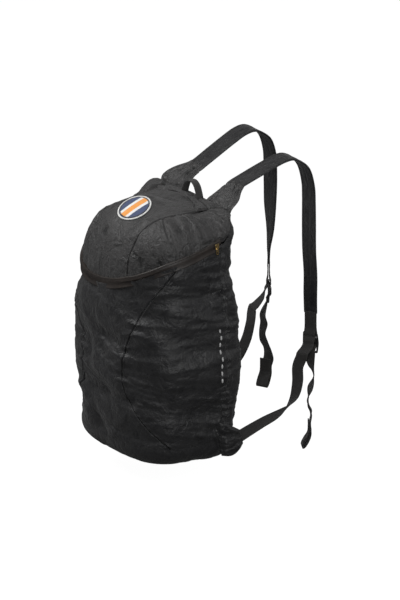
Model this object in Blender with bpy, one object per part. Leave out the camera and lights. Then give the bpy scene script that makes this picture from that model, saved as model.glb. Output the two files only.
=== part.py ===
"""Packable day bag of thin nylon with a zipped lid, in the shape it has on a wearer's shoulders.

Metres, +Z up. The bag's front faces -Y, the wearer's back is at +Y and the wearer's right is +X.
The bag is worked out with its base centre at zero, then placed so that the point midway under the
two strap crowns, where the shoulders carry it, is the origin.
"""
import math

import bmesh
import bpy
from mathutils import Vector

# Bag body
back_height = 0.375
bag_width = 0.264
front_depth = 0.082
back_depth = 0.086
base_round = 0.030
base_sag = 0.003
side_seam_angle = 111.0
cloth = 0.0015
seam_gap = 0.0003
dent_depth = 0.004

# Zip line and lid
zip_front_height = 0.264
zip_corner_height = 0.339
zip_gap = 0.0024
lid_crown = 0.0005
lid_panel_width = 0.150
lid_lean = 0.050
lean_fade_gain = 1.0
lean_fade_reach = 0.77
lid_roundness = 2.6
lid_front_power = 1.6
lid_side_power = 4.0
lid_row_crowding = 2.2
gusset_row_crowding = 1.8
gusset_front_trim = 0.35
gusset_rear_trim = 0.6
gusset_least_reach = 0.004
flap_width = 0.016
flap_end_setback = 2.0
flap_bridge = 3.0
flap_cloth = 0.0012
flap_clearance = 0.0010
flap_flare = 0.0015

# Badge and zip pull
badge_diameter = 0.054
badge_thickness = 0.0015
badge_clearance = 0.0006
badge_setback = 0.0265
pull_length = 0.016
pull_width = 0.006
pull_thickness = 0.0028
pull_angle = 106.0

# Yokes and shoulder straps
yoke_base_width = 0.082
yoke_base_offset = 0.0665
yoke_reach = 0.034
yoke_rise = 0.027
strap_offset = 0.057
strap_width = 0.038
strap_end_width = 0.023
strap_thickness = 0.0026
strap_reach = 0.122
crown_rise = 0.0355
crown_difference = 0.014
strap_drop = 0.230
strap_crown_share = 0.66
strap_splay = 0.25
yoke_thickness_share = 0.7
strap_crease_share = 0.15
drop_difference = 0.032

# Webbing, cuffs, buckles and tabs
webbing_width = 0.020
webbing_thickness = 0.0015
cuff_length = 0.032
buckle_bar = 0.003
buckle_slot = 0.0105
buckle_slot_play = 0.0015
tail_length = 0.117
tail_difference = 0.018
tail_loop = 0.030
tab_length = 0.046
tab_height = 0.058
tab_thickness = 0.002
tab_seat_share = 0.58
tab_tip_share = 0.72
tab_anchor_share = 0.12
tab_anchor_rise = 0.06
anchor_height = 0.031

# Haul loop
haul_span = 0.044
haul_height = 0.022
haul_width = 0.012

# Shares of the back height, half width, front and back depth; the last two are corner squareness
BODY_SECTIONS = [
    # height, width, front, back, front_square, back_square
    (0.08, 0.95, 0.955, 0.93, 2.7, 6.0),
    (0.20, 0.99, 0.985, 0.99, 2.8, 7.0),
    (0.33, 1.01, 1.000, 1.02, 2.8, 8.0),
    (0.48, 1.02, 1.005, 1.03, 2.9, 8.0),
    (0.60, 1.01, 1.000, 0.99, 2.8, 8.0),
    (0.70, 0.98, 0.955, 0.95, 2.4, 7.0),
    (0.80, 0.96, 0.975, 0.92, 2.6, 6.0),
    (0.90, 0.97, 1.000, 0.92, 2.8, 6.0),
    (1.00, 0.98, 1.000, 0.93, 2.8, 6.0),
]

# Rise of the zip line, as shares of its whole rise, at shares of the side seam's angle
ZIP_RISE = [
    # angle, right_rise, left_rise
    (0.00, 0.00, 0.00),
    (0.20, 0.09, -0.03),
    (0.40, 0.26, 0.00),
    (0.54, 0.45, 0.09),
    (0.65, 0.62, 0.28),
    (0.81, 0.78, 0.62),
    (1.00, 1.00, 1.00),
]

# Curved seam between the front and side panels
FRONT_SEAM = [
    # height_share, angle
    (0.00, 74.0),
    (0.10, 60.0),
    (0.20, 49.0),
    (0.31, 39.5),
    (0.45, 35.5),
    (0.60, 39.5),
    (0.75, 50.0),
    (0.85, 60.5),
    (0.93, 71.0),
    (1.00, 80.0),
]

# Heights of the flap's rows above the zip line, as shares of its width
FLAP_ROWS = (0.5, 0.3, 0.1, -0.2, -0.5)

# Main dents (positive) and swells (negative) of the walls, as shares of the dent depth
DENTS = [
    # angle, height, angle_spread, height_spread, depth
    (16.0, 0.49, 30.0, 0.035, 1.0),
    (-2.0, 0.26, 34.0, 0.035, 0.9),
    (-4.0, 0.36, 30.0, 0.045, -0.7),
    (-60.0, 0.17, 26.0, 0.030, 0.6),
    (-62.0, 0.50, 22.0, 0.050, -0.5),
    (60.0, 0.62, 24.0, 0.040, 0.7),
    (92.0, 0.70, 18.0, 0.025, 0.8),
    (88.0, 0.40, 20.0, 0.060, -0.6),
    (96.0, 0.22, 18.0, 0.030, 0.7),
    (-94.0, 0.66, 20.0, 0.030, 0.8),
    (-90.0, 0.36, 22.0, 0.060, -0.6),
    (160.0, 0.66, 26.0, 0.050, 0.9),
    (196.0, 0.42, 30.0, 0.060, 0.7),
    (150.0, 0.20, 22.0, 0.050, 0.6),
]

# Yoke and strap centre line: reach and arch run along yoke then strap, drop is the hanging length
YOKE_ROUTE = [
    # reach, rise, offset_blend, width_blend
    (0.00, -0.18, 0.00, 0.00),
    (0.03, 0.04, 0.00, 0.03),
    (0.22, 0.32, 0.20, 0.30),
    (0.55, 0.66, 0.60, 0.70),
    (0.80, 0.86, 0.85, 0.90),
    (1.00, 1.00, 1.00, 1.00),
]
STRAP_ROUTE = [
    # reach, arch, drop, taper, turn_share
    (0.20, 0.33, 0.00, 0.00, 0.00),
    (0.40, 0.66, 0.00, 0.00, 0.00),
    (0.58, 0.92, 0.00, 0.00, 0.00),
    (0.72, 1.00, 0.005, 0.00, 0.00),
    (0.86, 1.00, 0.045, 0.00, 0.00),
    (0.94, 1.00, 0.100, 0.00, 0.00),
    (0.99, 1.00, 0.200, 0.00, 0.00),
    (1.00, 1.00, 0.300, 0.00, 0.00),
    (1.00, 1.00, 0.440, 0.00, 0.04),
    (1.00, 1.00, 0.600, 0.15, 0.12),
    (1.01, 1.00, 0.760, 0.55, 0.40),
    (1.00, 1.00, 0.890, 0.85, 0.80),
    (1.00, 1.00, 1.000, 1.00, 1.00),
]
strap_turn = {"right": 26.0, "left": 30.0}

# Webbing from the corner tab to the buckle, as shares of the way from one to the other
LOAD_ROUTE = [
    # side, back, height, pitch
    (0.00, 0.00, 0.00, 90.0),
    (0.04, 0.10, 0.05, 88.0),
    (0.16, 0.30, 0.125, 80.0),
    (0.34, 0.50, 0.165, 66.0),
    (0.50, 0.64, 0.21, 45.0),
    (0.64, 0.745, 0.32, 24.0),
    (0.78, 0.81, 0.50, 8.0),
    (0.88, 0.835, 0.69, 2.0),
]
# Webbing round the buckle's bars, in millimetres out of the buckle's plane and above its middle bar
BUCKLE_ROUTE = [
    # out, up
    (-5.2, -2.6),
    (-3.6, 1.4),
    (0.0, 4.0),
    (3.6, 1.4),
    (3.4, -1.5),
    (1.2, -5.0),
    (-1.2, -8.5),
    (-3.0, -12.5),
    (-2.8, -17.0),
]
# Webbing's fold on the bag's side of each buckle, in millimetres as on the buckle
FOLD_ROUTE = {
    "right": [
        # out, up
        (-24.0, -17.0),
        (-22.8, -12.6),
        (-18.0, -9.6),
        (-11.0, -6.4),
    ],
    "left": [
        # out, up
        (-25.0, -30.0),
        (-23.0, -25.0),
        (-18.0, -20.0),
        (-10.0, -10.0),
    ],
}
# Free tail: share of its length, sway as shares of the webbing width, heading added in degrees
TAIL_ROUTE = {
    "right": [
        # fall, sway, turn
        (0.20, 0.02, -40.0),
        (0.38, 0.12, -60.0),
        (0.54, -0.05, -44.0),
        (0.66, -0.16, -56.0),
        (0.78, -0.10, -48.0),
        (0.90, 0.00, -56.0),
    ],
    "left": [
        # fall, sway, turn
        (0.20, -0.28, 16.0),
        (0.38, -0.32, 25.0),
        (0.54, -0.40, 22.0),
        (0.66, -0.34, 35.0),
        (0.78, -0.20, 55.0),
        (0.90, -0.30, 75.0),
    ],
}

SIDES = {"right": 1, "left": -1}


def smooth_row(rows, key):
    """Values of a table at key, on a smooth curve through its rows; column 0 holds the keys."""
    last = len(rows) - 1
    spot = 0
    while spot < last - 1 and key > rows[spot + 1][0]:
        spot += 1
    before = rows[max(spot - 1, 0)]
    low = rows[spot]
    high = rows[spot + 1]
    after = rows[min(spot + 2, last)]
    span = high[0] - low[0]
    step = min(max((key - low[0]) / span, 0.0), 1.0)
    values = []
    for column in range(1, len(low)):
        slope_low = (high[column] - before[column]) / (high[0] - before[0]) * span
        slope_high = (after[column] - low[column]) / (after[0] - low[0]) * span
        square = step * step
        cube = square * step
        values.append(
            (2 * cube - 3 * square + 1) * low[column]
            + (cube - 2 * square + step) * slope_low
            + (3 * square - 2 * cube) * high[column]
            + (cube - square) * slope_high
        )
    return values


def smooth_path(rows, steps):
    """Rows of numbers sampled evenly between each pair of rows, on a curve through them all."""
    samples = []
    last = len(rows) - 1
    for spot in range(last):
        before = rows[max(spot - 1, 0)]
        after = rows[min(spot + 2, last)]
        for step in range(steps):
            share = step / steps
            sample = []
            for p0, p1, p2, p3 in zip(before, rows[spot], rows[spot + 1], after):
                sample.append(0.5 * (
                    2 * p1 + (p2 - p0) * share
                    + (2 * p0 - 5 * p1 + 4 * p2 - p3) * share ** 2
                    + (3 * p1 - p0 - 3 * p2 + p3) * share ** 3
                ))
            samples.append(sample)
    samples.append(list(rows[last]))
    return samples


def wrapped(angle):
    """Angle in degrees between -180 and 180."""
    return (angle + 180.0) % 360.0 - 180.0


def dent_at(angle, height):
    """How far the wall lies inside its plain section."""
    total = 0.0
    for dent_angle, dent_height, angle_spread, height_spread, depth in DENTS:
        across = wrapped(angle - dent_angle) / angle_spread
        upward = (height / back_height - dent_height) / height_spread
        total += depth * math.exp(-across * across - upward * upward)
    return total * dent_depth


def outline_radius(angle, height):
    """Distance from the bag's axis to the outer face of its wall; angle 0 is the front centre."""
    row = smooth_row(BODY_SECTIONS, height / back_height)
    width, front, back, front_square, back_square = row
    sine = abs(math.sin(math.radians(angle)))
    cosine = math.cos(math.radians(angle))
    if cosine >= 0:
        depth = front_depth * front
        power = front_square
    else:
        depth = back_depth * back
        power = back_square
    half = bag_width / 2 * width
    plain = ((sine / half) ** power + (abs(cosine) / depth) ** power) ** (-1 / power)
    return plain - dent_at(angle, height)


def outline_point(angle, height, out=0.0):
    """Point on the bag's wall, moved outwards from the axis by out."""
    radius = outline_radius(angle, height) + out
    turned = math.radians(angle)
    return Vector((radius * math.sin(turned), -radius * math.cos(turned), height))


def edge_height(angle):
    """Height of the zip line, and of the back's top edge behind the side seams."""
    turned = wrapped(angle)
    share = abs(turned) / side_seam_angle
    if share <= 1.0:
        right_rise, left_rise = smooth_row(ZIP_RISE, share)
        rise = right_rise if turned >= 0 else left_rise
        return zip_front_height + rise * (zip_corner_height - zip_front_height)
    corner_angle = 180.0 - math.degrees(math.atan2(bag_width / 2, back_depth))
    climb = (abs(turned) - side_seam_angle) / (corner_angle - side_seam_angle + 3.0)
    climb = min(climb, 1.0)
    climb = climb * climb * (3 - 2 * climb)
    return zip_corner_height + climb * (back_height - zip_corner_height)


def lean_at(x, y):
    """How far the slack lid lies lower over the wearer's left front."""
    if x >= 0:
        return 0.0
    fade = min(max(lean_fade_gain * (lean_fade_reach - y / back_depth), 0.0), 1.0)
    fade = fade * fade * (3 - 2 * fade)
    return lid_lean * fade * (2 * x / bag_width) ** 2


def lid_point(angle, reach):
    """Point on the lid's outer face; reach runs from 0 at the middle to 1 at its edge."""
    height = edge_height(angle)
    edge = outline_point(angle, height)
    x = edge.x * reach
    y = edge.y * reach
    top = back_height + lid_crown - lean_at(x, y)
    side_share = math.sin(math.radians(angle)) ** 2
    plan_power = lid_front_power + (lid_side_power - lid_front_power) * side_share
    if math.cos(math.radians(angle)) < 0:
        plan_power = lid_side_power
    climb = max(1.0 - reach ** plan_power, 0.0) ** (1 / lid_roundness)
    return Vector((x, y, height + (top - height) * climb))


def lid_over(x, y):
    """Point on the lid's outer face above a place in plan."""
    angle = math.degrees(math.atan2(x, -y))
    edge = outline_radius(angle, edge_height(angle))
    return lid_point(angle, min(math.hypot(x, y) / edge, 1.0))


def lid_radius(angle, height):
    """Distance from the axis to the lid's face at a height a little above its edge."""
    low = 0.5
    high = 1.0
    for _ in range(24):
        middle = (low + high) / 2
        if lid_point(angle, middle).z > height:
            low = middle
        else:
            high = middle
    return outline_radius(angle, edge_height(angle)) * high


def wall_normal(angle, height):
    """Unit direction out of the bag's wall."""
    turn = 1.0
    rise = 0.002
    along = outline_point(angle + turn, height) - outline_point(angle - turn, height)
    upward = outline_point(angle, height + rise) - outline_point(angle, height - rise)
    return along.cross(upward).normalized()


def lid_normal(point):
    """Unit direction out of the lid at a point on it."""
    step = 0.0008
    across = lid_over(point.x + step, point.y) - lid_over(point.x - step, point.y)
    back = lid_over(point.x, point.y + step) - lid_over(point.x, point.y - step)
    return across.cross(back).normalized()


def new_object(name, mesh, material):
    """Add a mesh to the scene as the named sub-part, placed with the whole bag."""
    mesh.materials.append(material)
    part = bpy.data.objects.new(name, mesh)
    part.location = BAG_PLACE
    bpy.context.collection.objects.link(part)
    return part


def closed_mesh(name, points, faces):
    """Mesh of one closed body, with doubles merged and faces turned outwards."""
    shape = bmesh.new()
    corners = [shape.verts.new(point) for point in points]
    for face in faces:
        shape.faces.new([corners[index] for index in face])
    bmesh.ops.remove_doubles(shape, verts=shape.verts, dist=1e-6)
    bmesh.ops.dissolve_degenerate(shape, edges=shape.edges, dist=1e-6)
    bmesh.ops.triangulate(shape, faces=shape.faces)
    bmesh.ops.recalc_face_normals(shape, faces=shape.faces)
    mesh = bpy.data.meshes.new(name)
    shape.to_mesh(mesh)
    shape.free()
    mesh.shade_smooth()
    mesh.set_sharp_from_angle(angle=math.radians(40))
    return mesh


def grid_normals(grid, centre):
    """Unit normals of a grid of points, all turned away from centre together."""
    rows = len(grid)
    columns = len(grid[0])
    normals = []
    outward = 0.0
    for row in range(rows):
        line = []
        for column in range(columns):
            along = grid[min(row + 1, rows - 1)][column] - grid[max(row - 1, 0)][column]
            if along.length < 1e-7:
                side = min(column + 1, columns - 1)
                along = grid[min(row + 1, rows - 1)][side] - grid[max(row - 1, 0)][side]
            across = grid[row][min(column + 1, columns - 1)] - grid[row][max(column - 1, 0)]
            if across.length < 1e-7:
                next_row = row + 1 if row == 0 else row - 1
                across = grid[next_row][min(column + 1, columns - 1)] - grid[next_row][max(column - 1, 0)]
            normal = along.cross(across).normalized()
            outward += normal.dot(grid[row][column] - centre)
            line.append(normal)
        normals.append(line)
    if outward < 0:
        normals = [[-normal for normal in line] for line in normals]
    return normals


def cloth_shell(name, grid, normals, thickness, material):
    """Closed cloth wall: the grid is its outer face and thickness goes inwards."""
    rows = len(grid)
    columns = len(grid[0])
    outer = [point for line in grid for point in line]
    inner = []
    for line, directions in zip(grid, normals):
        inner.extend(point - normal * thickness for point, normal in zip(line, directions))
    points = outer + inner
    below = rows * columns
    faces = []
    for row in range(rows - 1):
        for column in range(columns - 1):
            a = row * columns + column
            b = a + 1
            c = b + columns
            d = a + columns
            faces.append((a, b, c, d))
            faces.append((below + d, below + c, below + b, below + a))
    rim = [column for column in range(columns)]
    rim += [row * columns + columns - 1 for row in range(1, rows)]
    rim += [(rows - 1) * columns + column for column in range(columns - 2, -1, -1)]
    rim += [row * columns for row in range(rows - 2, 0, -1)]
    for spot, start in enumerate(rim):
        end = rim[(spot + 1) % len(rim)]
        faces.append((start, below + start, below + end, end))
    return new_object(name, closed_mesh(name, points, faces), material)


def even_shares(count):
    """Shares from 0 to 1 in even steps."""
    return [step / count for step in range(count + 1)]


def end_shares(count):
    """Shares from 0 to 1 that crowd together at both ends."""
    return [(1 - math.cos(math.pi * share)) / 2 for share in even_shares(count)]


def wall_panel(name, first_angle, last_angle, across, rows, top_drop, material):
    """Panel of the bag's wall between two seams, each a function of the height share."""
    bottom = base_round + seam_gap / 2
    grid = []
    normals = []
    for rise in even_shares(rows):
        start = first_angle(rise)
        end = last_angle(rise)
        line = []
        directions = []
        for share in across:
            angle = start + (end - start) * share
            top = edge_height(angle) - top_drop(angle)
            height = bottom + rise * (top - bottom)
            trim = math.degrees(seam_gap / 2 / outline_radius(angle, height))
            if share == 0:
                angle += trim
            if share == 1:
                angle -= trim
            line.append(outline_point(angle, height))
            directions.append(wall_normal(angle, height))
        grid.append(line)
        normals.append(directions)
    return cloth_shell(name, grid, normals, cloth, material)


def front_seam(rise):
    """Angle of the curved front seam at a share of the wall's height."""
    return smooth_row(FRONT_SEAM, rise)[0]


def top_drop(angle):
    """How far the wall stops below the zip line or the lid's rear edge."""
    if abs(wrapped(angle)) <= side_seam_angle:
        return zip_gap / 2
    return zip_gap / 2 + cloth + seam_gap


def make_walls(nylon):
    """Front, side and back panels, from the base seam up to the zip line and the back's top edge."""
    wall_panel("front_panel", lambda rise: -front_seam(rise), front_seam, even_shares(12), 18,
               top_drop, nylon)
    wall_panel("side_panel_right", front_seam, lambda rise: side_seam_angle, even_shares(10), 18,
               top_drop, nylon)
    wall_panel("side_panel_left", lambda rise: -side_seam_angle, lambda rise: -front_seam(rise),
               even_shares(10), 18, top_drop, nylon)
    back_drop = zip_gap / 2 + cloth + seam_gap
    wall_panel("back_panel", lambda rise: side_seam_angle, lambda rise: 360 - side_seam_angle,
               end_shares(18), 13, lambda angle: back_drop, nylon)


def make_base(nylon):
    """Rounded bottom dish, from the middle out and up to the base seam."""
    grid = []
    for turn in even_shares(30):
        angle = 360 * turn
        line = []
        seat = outline_radius(angle, base_round)
        flat = seat - base_round
        for share in (0.02, 0.35, 0.7, 1.0):
            reach = flat * share
            turned = math.radians(angle)
            drop = base_sag * (1 - share * share)
            line.append(Vector((reach * math.sin(turned), -reach * math.cos(turned), -drop)))
        for step in (0.25, 0.5, 0.75, 1.0):
            bend = step * math.pi / 2
            reach = flat + base_round * math.sin(bend)
            rise = base_round * (1 - math.cos(bend))
            if step == 1.0:
                rise -= seam_gap / 2
            turned = math.radians(angle)
            line.append(Vector((reach * math.sin(turned), -reach * math.cos(turned), rise)))
        grid.append(line)
    return ring_shell("base_panel", grid, cloth, nylon)


def ring_shell(name, grid, thickness, material):
    """Closed dish from rows that run out from the middle, once round the axis."""
    turns = len(grid) - 1
    columns = len(grid[0])
    centre = Vector((0, 0, back_height / 2))
    normals = []
    for turn in range(turns):
        line = []
        for column in range(columns):
            along = grid[(turn + 1) % turns][column] - grid[(turn - 1) % turns][column]
            across = grid[turn][min(column + 1, columns - 1)] - grid[turn][max(column - 1, 0)]
            normal = along.cross(across).normalized()
            if normal.dot(grid[turn][column] - centre) < 0:
                normal = -normal
            line.append(normal)
        normals.append(line)
    points = []
    for turn in range(turns):
        points.extend(grid[turn])
    below = len(points)
    for turn in range(turns):
        points.extend(p - n * thickness for p, n in zip(grid[turn], normals[turn]))
    pole = grid[0][0].z
    points.append(Vector((0, 0, pole)))
    points.append(Vector((0, 0, pole + thickness)))
    low_pole = len(points) - 2
    high_pole = len(points) - 1
    faces = []
    for turn in range(turns):
        after = (turn + 1) % turns
        for column in range(columns - 1):
            a = turn * columns + column
            d = after * columns + column
            faces.append((a, a + 1, d + 1, d))
            faces.append((below + d, below + d + 1, below + a + 1, below + a))
        a = turn * columns
        d = after * columns
        faces.append((a, d, low_pole))
        faces.append((below + d, below + a, high_pole))
        rim = columns - 1
        faces.append((a + rim, below + a + rim, below + d + rim, d + rim))
    return new_object(name, closed_mesh(name, points, faces), material)


def lid_edge_reach(angle):
    """Reach at which the lid stops, a little above the zip line or at the back's top edge."""
    rise = zip_gap / 2
    height = edge_height(angle)
    top = back_height + lid_crown
    if abs(wrapped(angle)) > side_seam_angle or top - height < 4 * rise:
        return 1.0
    return lid_radius(angle, height + rise) / outline_radius(angle, height)


def lid_front_angle(x):
    """Angle at which the lid's edge passes x, on the front side."""
    low = 0.0
    high = 90.0
    for _ in range(30):
        middle = (low + high) / 2
        turned = middle if x >= 0 else -middle
        if abs(outline_point(turned, edge_height(turned)).x) < abs(x):
            low = middle
        else:
            high = middle
    return low if x >= 0 else -low


def make_lid_top(nylon):
    """Centre panel of the lid, from the zip line over the front edge and back to the rear edge."""
    half = lid_panel_width / 2 - seam_gap / 2
    grid = []
    for share in even_shares(12):
        x = half * (2 * share - 1)
        front = lid_front_angle(x)
        start_y = lid_point(front, lid_edge_reach(front)).y
        rear_y = rear_edge_y(x)
        line = []
        for run in even_shares(14):
            y = start_y + (rear_y - start_y) * run ** lid_row_crowding
            z = lid_over(x, y).z
            if run == 0:
                z = edge_height(front) + zip_gap / 2
            line.append(Vector((x, y, z)))
        grid.append(line)
    normals = [[lid_normal(point) for point in line] for line in grid]
    return cloth_shell("lid_top_panel", grid, normals, cloth, nylon)


def rear_edge_y(x):
    """Depth of the back's top edge at x."""
    low = 0.0
    high = back_depth * 1.2
    for _ in range(40):
        middle = (low + high) / 2
        angle = math.degrees(math.atan2(x, -middle))
        if math.hypot(x, middle) < outline_radius(angle, back_height):
            low = middle
        else:
            high = middle
    return low


def make_lid_side(side, nylon):
    """Side gusset of the lid, between the centre panel's seam and the zip line."""
    turn = SIDES[side]
    seam_x = lid_panel_width / 2 + seam_gap / 2
    front = abs(lid_front_angle(turn * seam_x)) + gusset_front_trim
    rear_y = rear_edge_y(seam_x)
    rear = math.degrees(math.atan2(seam_x, -rear_y)) - gusset_rear_trim
    angles = [front + (side_seam_angle - front) * share for share in even_shares(16)]
    angles += [side_seam_angle + (rear - side_seam_angle) * share for share in even_shares(7)[1:]]
    grid = []
    for angle in angles:
        edge = outline_radius(turn * angle, edge_height(turn * angle))
        inner = seam_x / (edge * math.sin(math.radians(angle)))
        outer = lid_edge_reach(turn * angle)
        inner = min(inner, outer - gusset_least_reach)
        line = []
        for run in even_shares(8):
            reach = outer - (outer - inner) * run ** gusset_row_crowding
            line.append(lid_point(turn * angle, reach))
        grid.append(line)
    normals = [[lid_normal(point) for point in line] for line in grid]
    return cloth_shell("lid_side_" + side, grid, normals, cloth, nylon)


def flap_radius(angle, height):
    """Distance from the axis to the inner face of the flap, which flares at its lower edge."""
    edge_z = edge_height(angle)
    flare = flap_flare * max(edge_z - height, 0.0) * 2 / flap_width
    if height > edge_z:
        lift = height - edge_z
        wall = max(
            lid_radius(near, edge_height(near) + lift)
            for near in (angle - flap_bridge, angle, angle + flap_bridge)
        )
    else:
        wall = outline_radius(angle, height)
    return wall + flap_clearance + flare


def make_zip_flap(tape):
    """Narrow flap that covers the zip, sewn to the lid and flaring a little at its lower edge."""
    grid = []
    for share in even_shares(54):
        angle = (side_seam_angle - flap_end_setback) * (2 * share - 1)
        line = []
        for drop in FLAP_ROWS:
            height = edge_height(angle) + drop * flap_width
            radius = flap_radius(angle, height) + flap_cloth
            turned = math.radians(angle)
            line.append(Vector((radius * math.sin(turned), -radius * math.cos(turned), height)))
        grid.append(line)
    normals = grid_normals(grid, Vector((0, 0, back_height / 2)))
    return cloth_shell("zip_flap", grid, normals, flap_cloth, tape)


def make_badge(patch):
    """Round sewn patch that follows the lid's top."""
    base = []
    top = []
    normal = badge_normal()
    across = Vector((1, 0, 0))
    upward = normal.cross(across)
    centre = lid_over(0, -badge_setback)
    rings = 3
    sides = 24
    for count in range(rings + 1):
        ring = count / rings
        for step in range(sides if count else 1):
            turn = 2 * math.pi * step / sides
            flat = centre + (across * math.cos(turn) + upward * math.sin(turn)) * ring * badge_diameter / 2
            spot = lid_over(flat.x, flat.y) + normal * badge_clearance
            base.append(spot)
            top.append(spot + normal * badge_thickness)
    points = base + top
    below = len(base)
    faces = []
    for step in range(sides):
        after = (step + 1) % sides
        faces.append((0, 1 + after, 1 + step))
        faces.append((below, below + 1 + step, below + 1 + after))
        for ring in range(rings - 1):
            a = 1 + ring * sides + step
            b = 1 + ring * sides + after
            faces.append((a, b, b + sides, a + sides))
            faces.append((below + a, below + a + sides, below + b + sides, below + b))
        d = 1 + (rings - 1) * sides + step
        c = 1 + (rings - 1) * sides + after
        faces.append((d, c, below + c, below + d))
    return new_object("badge", closed_mesh("badge", points, faces), patch)


def badge_normal():
    """Direction out of the lid where the badge sits."""
    span = badge_diameter / 4
    front = lid_over(0, -badge_setback - span)
    back = lid_over(0, -badge_setback + span)
    return (back - front).cross(Vector((-1, 0, 0))).normalized()


def make_zip_pull(brass):
    """Brass slider with its tongue hanging down over the flap, at the right end of the zip."""
    height = edge_height(pull_angle)
    foot = max(flap_radius(pull_angle, height + drop * flap_width) for drop in FLAP_ROWS)
    foot += flap_cloth + seam_gap
    thickness = pull_thickness
    outline = [
        # out, up, in shares of the thickness and of the length
        (0.0, 0.22),
        (1.0, 0.20),
        (1.0, -0.10),
        (0.55, -0.22),
        (0.55, -0.78),
        (0.0, -0.78),
    ]
    turned = math.radians(pull_angle)
    seat = Vector((math.sin(turned), -math.cos(turned), 0)) * foot
    outward = wall_normal(pull_angle, height)
    outward = Vector((outward.x, outward.y, 0)).normalized()
    across = Vector((-outward.y, outward.x, 0))
    points = []
    for side in (-0.5, 0.5):
        for out, up in outline:
            spot = seat + outward * out * thickness + across * side * pull_width
            points.append(spot + Vector((0, 0, height + up * pull_length)))
    count = len(outline)
    faces = [tuple(range(count)), tuple(range(2 * count - 1, count - 1, -1))]
    for spot in range(count):
        after = (spot + 1) % count
        faces.append((spot, count + spot, count + after, after))
    return new_object("zip_pull", closed_mesh("zip_pull", points, faces), brass)


def ribbon(name, rows, thickness, material, fold=0.0, lead_in=None, lead_out=None):
    """Flat strap along rows of x, y, z, heading, pitch and width, closed at both ends.

    A lead row beyond an end only sets the end's direction, for a strap that goes on in another.
    """
    spots = [Vector(row[:3]) for row in rows]
    last = len(spots) - 1
    leads = [Vector((lead_in or rows[0])[:3]), *spots, Vector((lead_out or rows[-1])[:3])]
    points = []
    for index, row in enumerate(rows):
        along = (leads[index + 2] - leads[index]).normalized()
        heading = math.radians(row[3])
        pitch = math.radians(row[4])
        across = Vector((
            math.cos(pitch) * math.cos(heading),
            math.cos(pitch) * math.sin(heading),
            math.sin(pitch),
        ))
        across = (across - along * across.dot(along)).normalized()
        face = along.cross(across)
        half = across * row[5] / 2
        up = face * thickness / 2
        crease = face * fold
        centre = spots[index]
        points += [
            centre - half + up, centre + up - crease, centre + half + up,
            centre + half - up, centre - up - crease, centre - half - up,
        ]
    faces = [(5, 4, 3, 2, 1, 0)]
    ring = 6
    for index in range(last):
        start = index * ring
        for corner in range(ring):
            after = (corner + 1) % ring
            faces.append((start + corner, start + after, start + ring + after, start + ring + corner))
    end = last * ring
    faces.append(tuple(end + corner for corner in range(ring)))
    return new_object(name, closed_mesh(name, points, faces), material)


def back_face(height):
    """Depth of the back panel's flat at a height, before its dents."""
    return back_depth * smooth_row(BODY_SECTIONS, height / back_height)[2]


def trimmed(rows, start, end):
    """Route with each end moved inwards along itself."""
    rows = [list(row) for row in rows]
    if start:
        way = Vector(rows[1][:3]) - Vector(rows[0][:3])
        rows[0][:3] = Vector(rows[0][:3]) + way.normalized() * start
    if end:
        way = Vector(rows[-2][:3]) - Vector(rows[-1][:3])
        rows[-1][:3] = Vector(rows[-1][:3]) + way.normalized() * end
    return rows


def strap_sizes(side):
    """Crown rise and hanging length of one side's strap."""
    turn = SIDES[side]
    rise = crown_rise - turn * crown_difference / 2
    drop = strap_drop + turn * drop_difference / 2
    return rise, drop


def yoke_root():
    """Depth and height at which the yokes leave the back's top edge."""
    return back_face(back_height) + seam_gap * 3 + strap_thickness / 2, back_height


def carry_rows(side):
    """Rows of yoke and strap together, as x, y, z, heading, pitch and width."""
    turn = SIDES[side]
    root_y, root_z = yoke_root()
    rows = []
    for reach, rise, offset, width in YOKE_ROUTE:
        x = yoke_base_offset + (strap_offset - yoke_base_offset) * offset
        span = yoke_base_width + (strap_width - yoke_base_width) * width
        rows.append((turn * x, root_y + reach * yoke_reach, root_z + rise * yoke_rise, 0.0, 0.0, span))
    start_y = root_y + yoke_reach
    start_z = root_z + yoke_rise
    crown, drop = strap_sizes(side)
    for reach, arch, fall, taper, turning in STRAP_ROUTE:
        x = strap_offset + webbing_width * strap_splay * taper
        y = start_y + reach * strap_reach
        z = start_z + arch * crown - fall * drop
        width = strap_width + (strap_end_width - strap_width) * taper
        heading = strap_turn[side] * turning * turn
        rows.append((turn * x, y, z, heading, 0.0, width))
    return rows


def make_carry(side, nylon):
    """Yoke and shoulder strap of one side, cut from one centre line at their seam."""
    steps = 3
    samples = smooth_path(carry_rows(side), steps)
    cut = (len(YOKE_ROUTE) - 1) * steps
    yoke = trimmed(samples[:cut + 1], 0, seam_gap / 2)
    ribbon("yoke_" + side, yoke, strap_thickness * yoke_thickness_share, nylon, lead_out=samples[cut + 1])
    strap = trimmed(samples[cut:], seam_gap / 2, 0)
    ribbon("shoulder_strap_" + side, strap, strap_thickness, nylon,
           fold=strap_thickness * strap_crease_share, lead_in=samples[cut - 1])


def buckle_frame(side):
    """Middle of the buckle's middle bar, its width direction and its heading."""
    end = Vector(carry_rows(side)[-1][:3])
    turn = SIDES[side]
    heading = strap_turn[side] * turn
    top_bar = buckle_bar * 0.5 + buckle_slot + buckle_bar * 0.5
    centre = end - Vector((0, 0, cuff_length + top_bar))
    across = Vector((math.cos(math.radians(heading)), math.sin(math.radians(heading)), 0))
    return centre, across, heading


def buckle_out(side):
    """Direction out of the buckle's plane, away from the bag."""
    across = buckle_frame(side)[1]
    out = Vector((0, 0, 1)).cross(across)
    return out if out.y > 0 else -out


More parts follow.
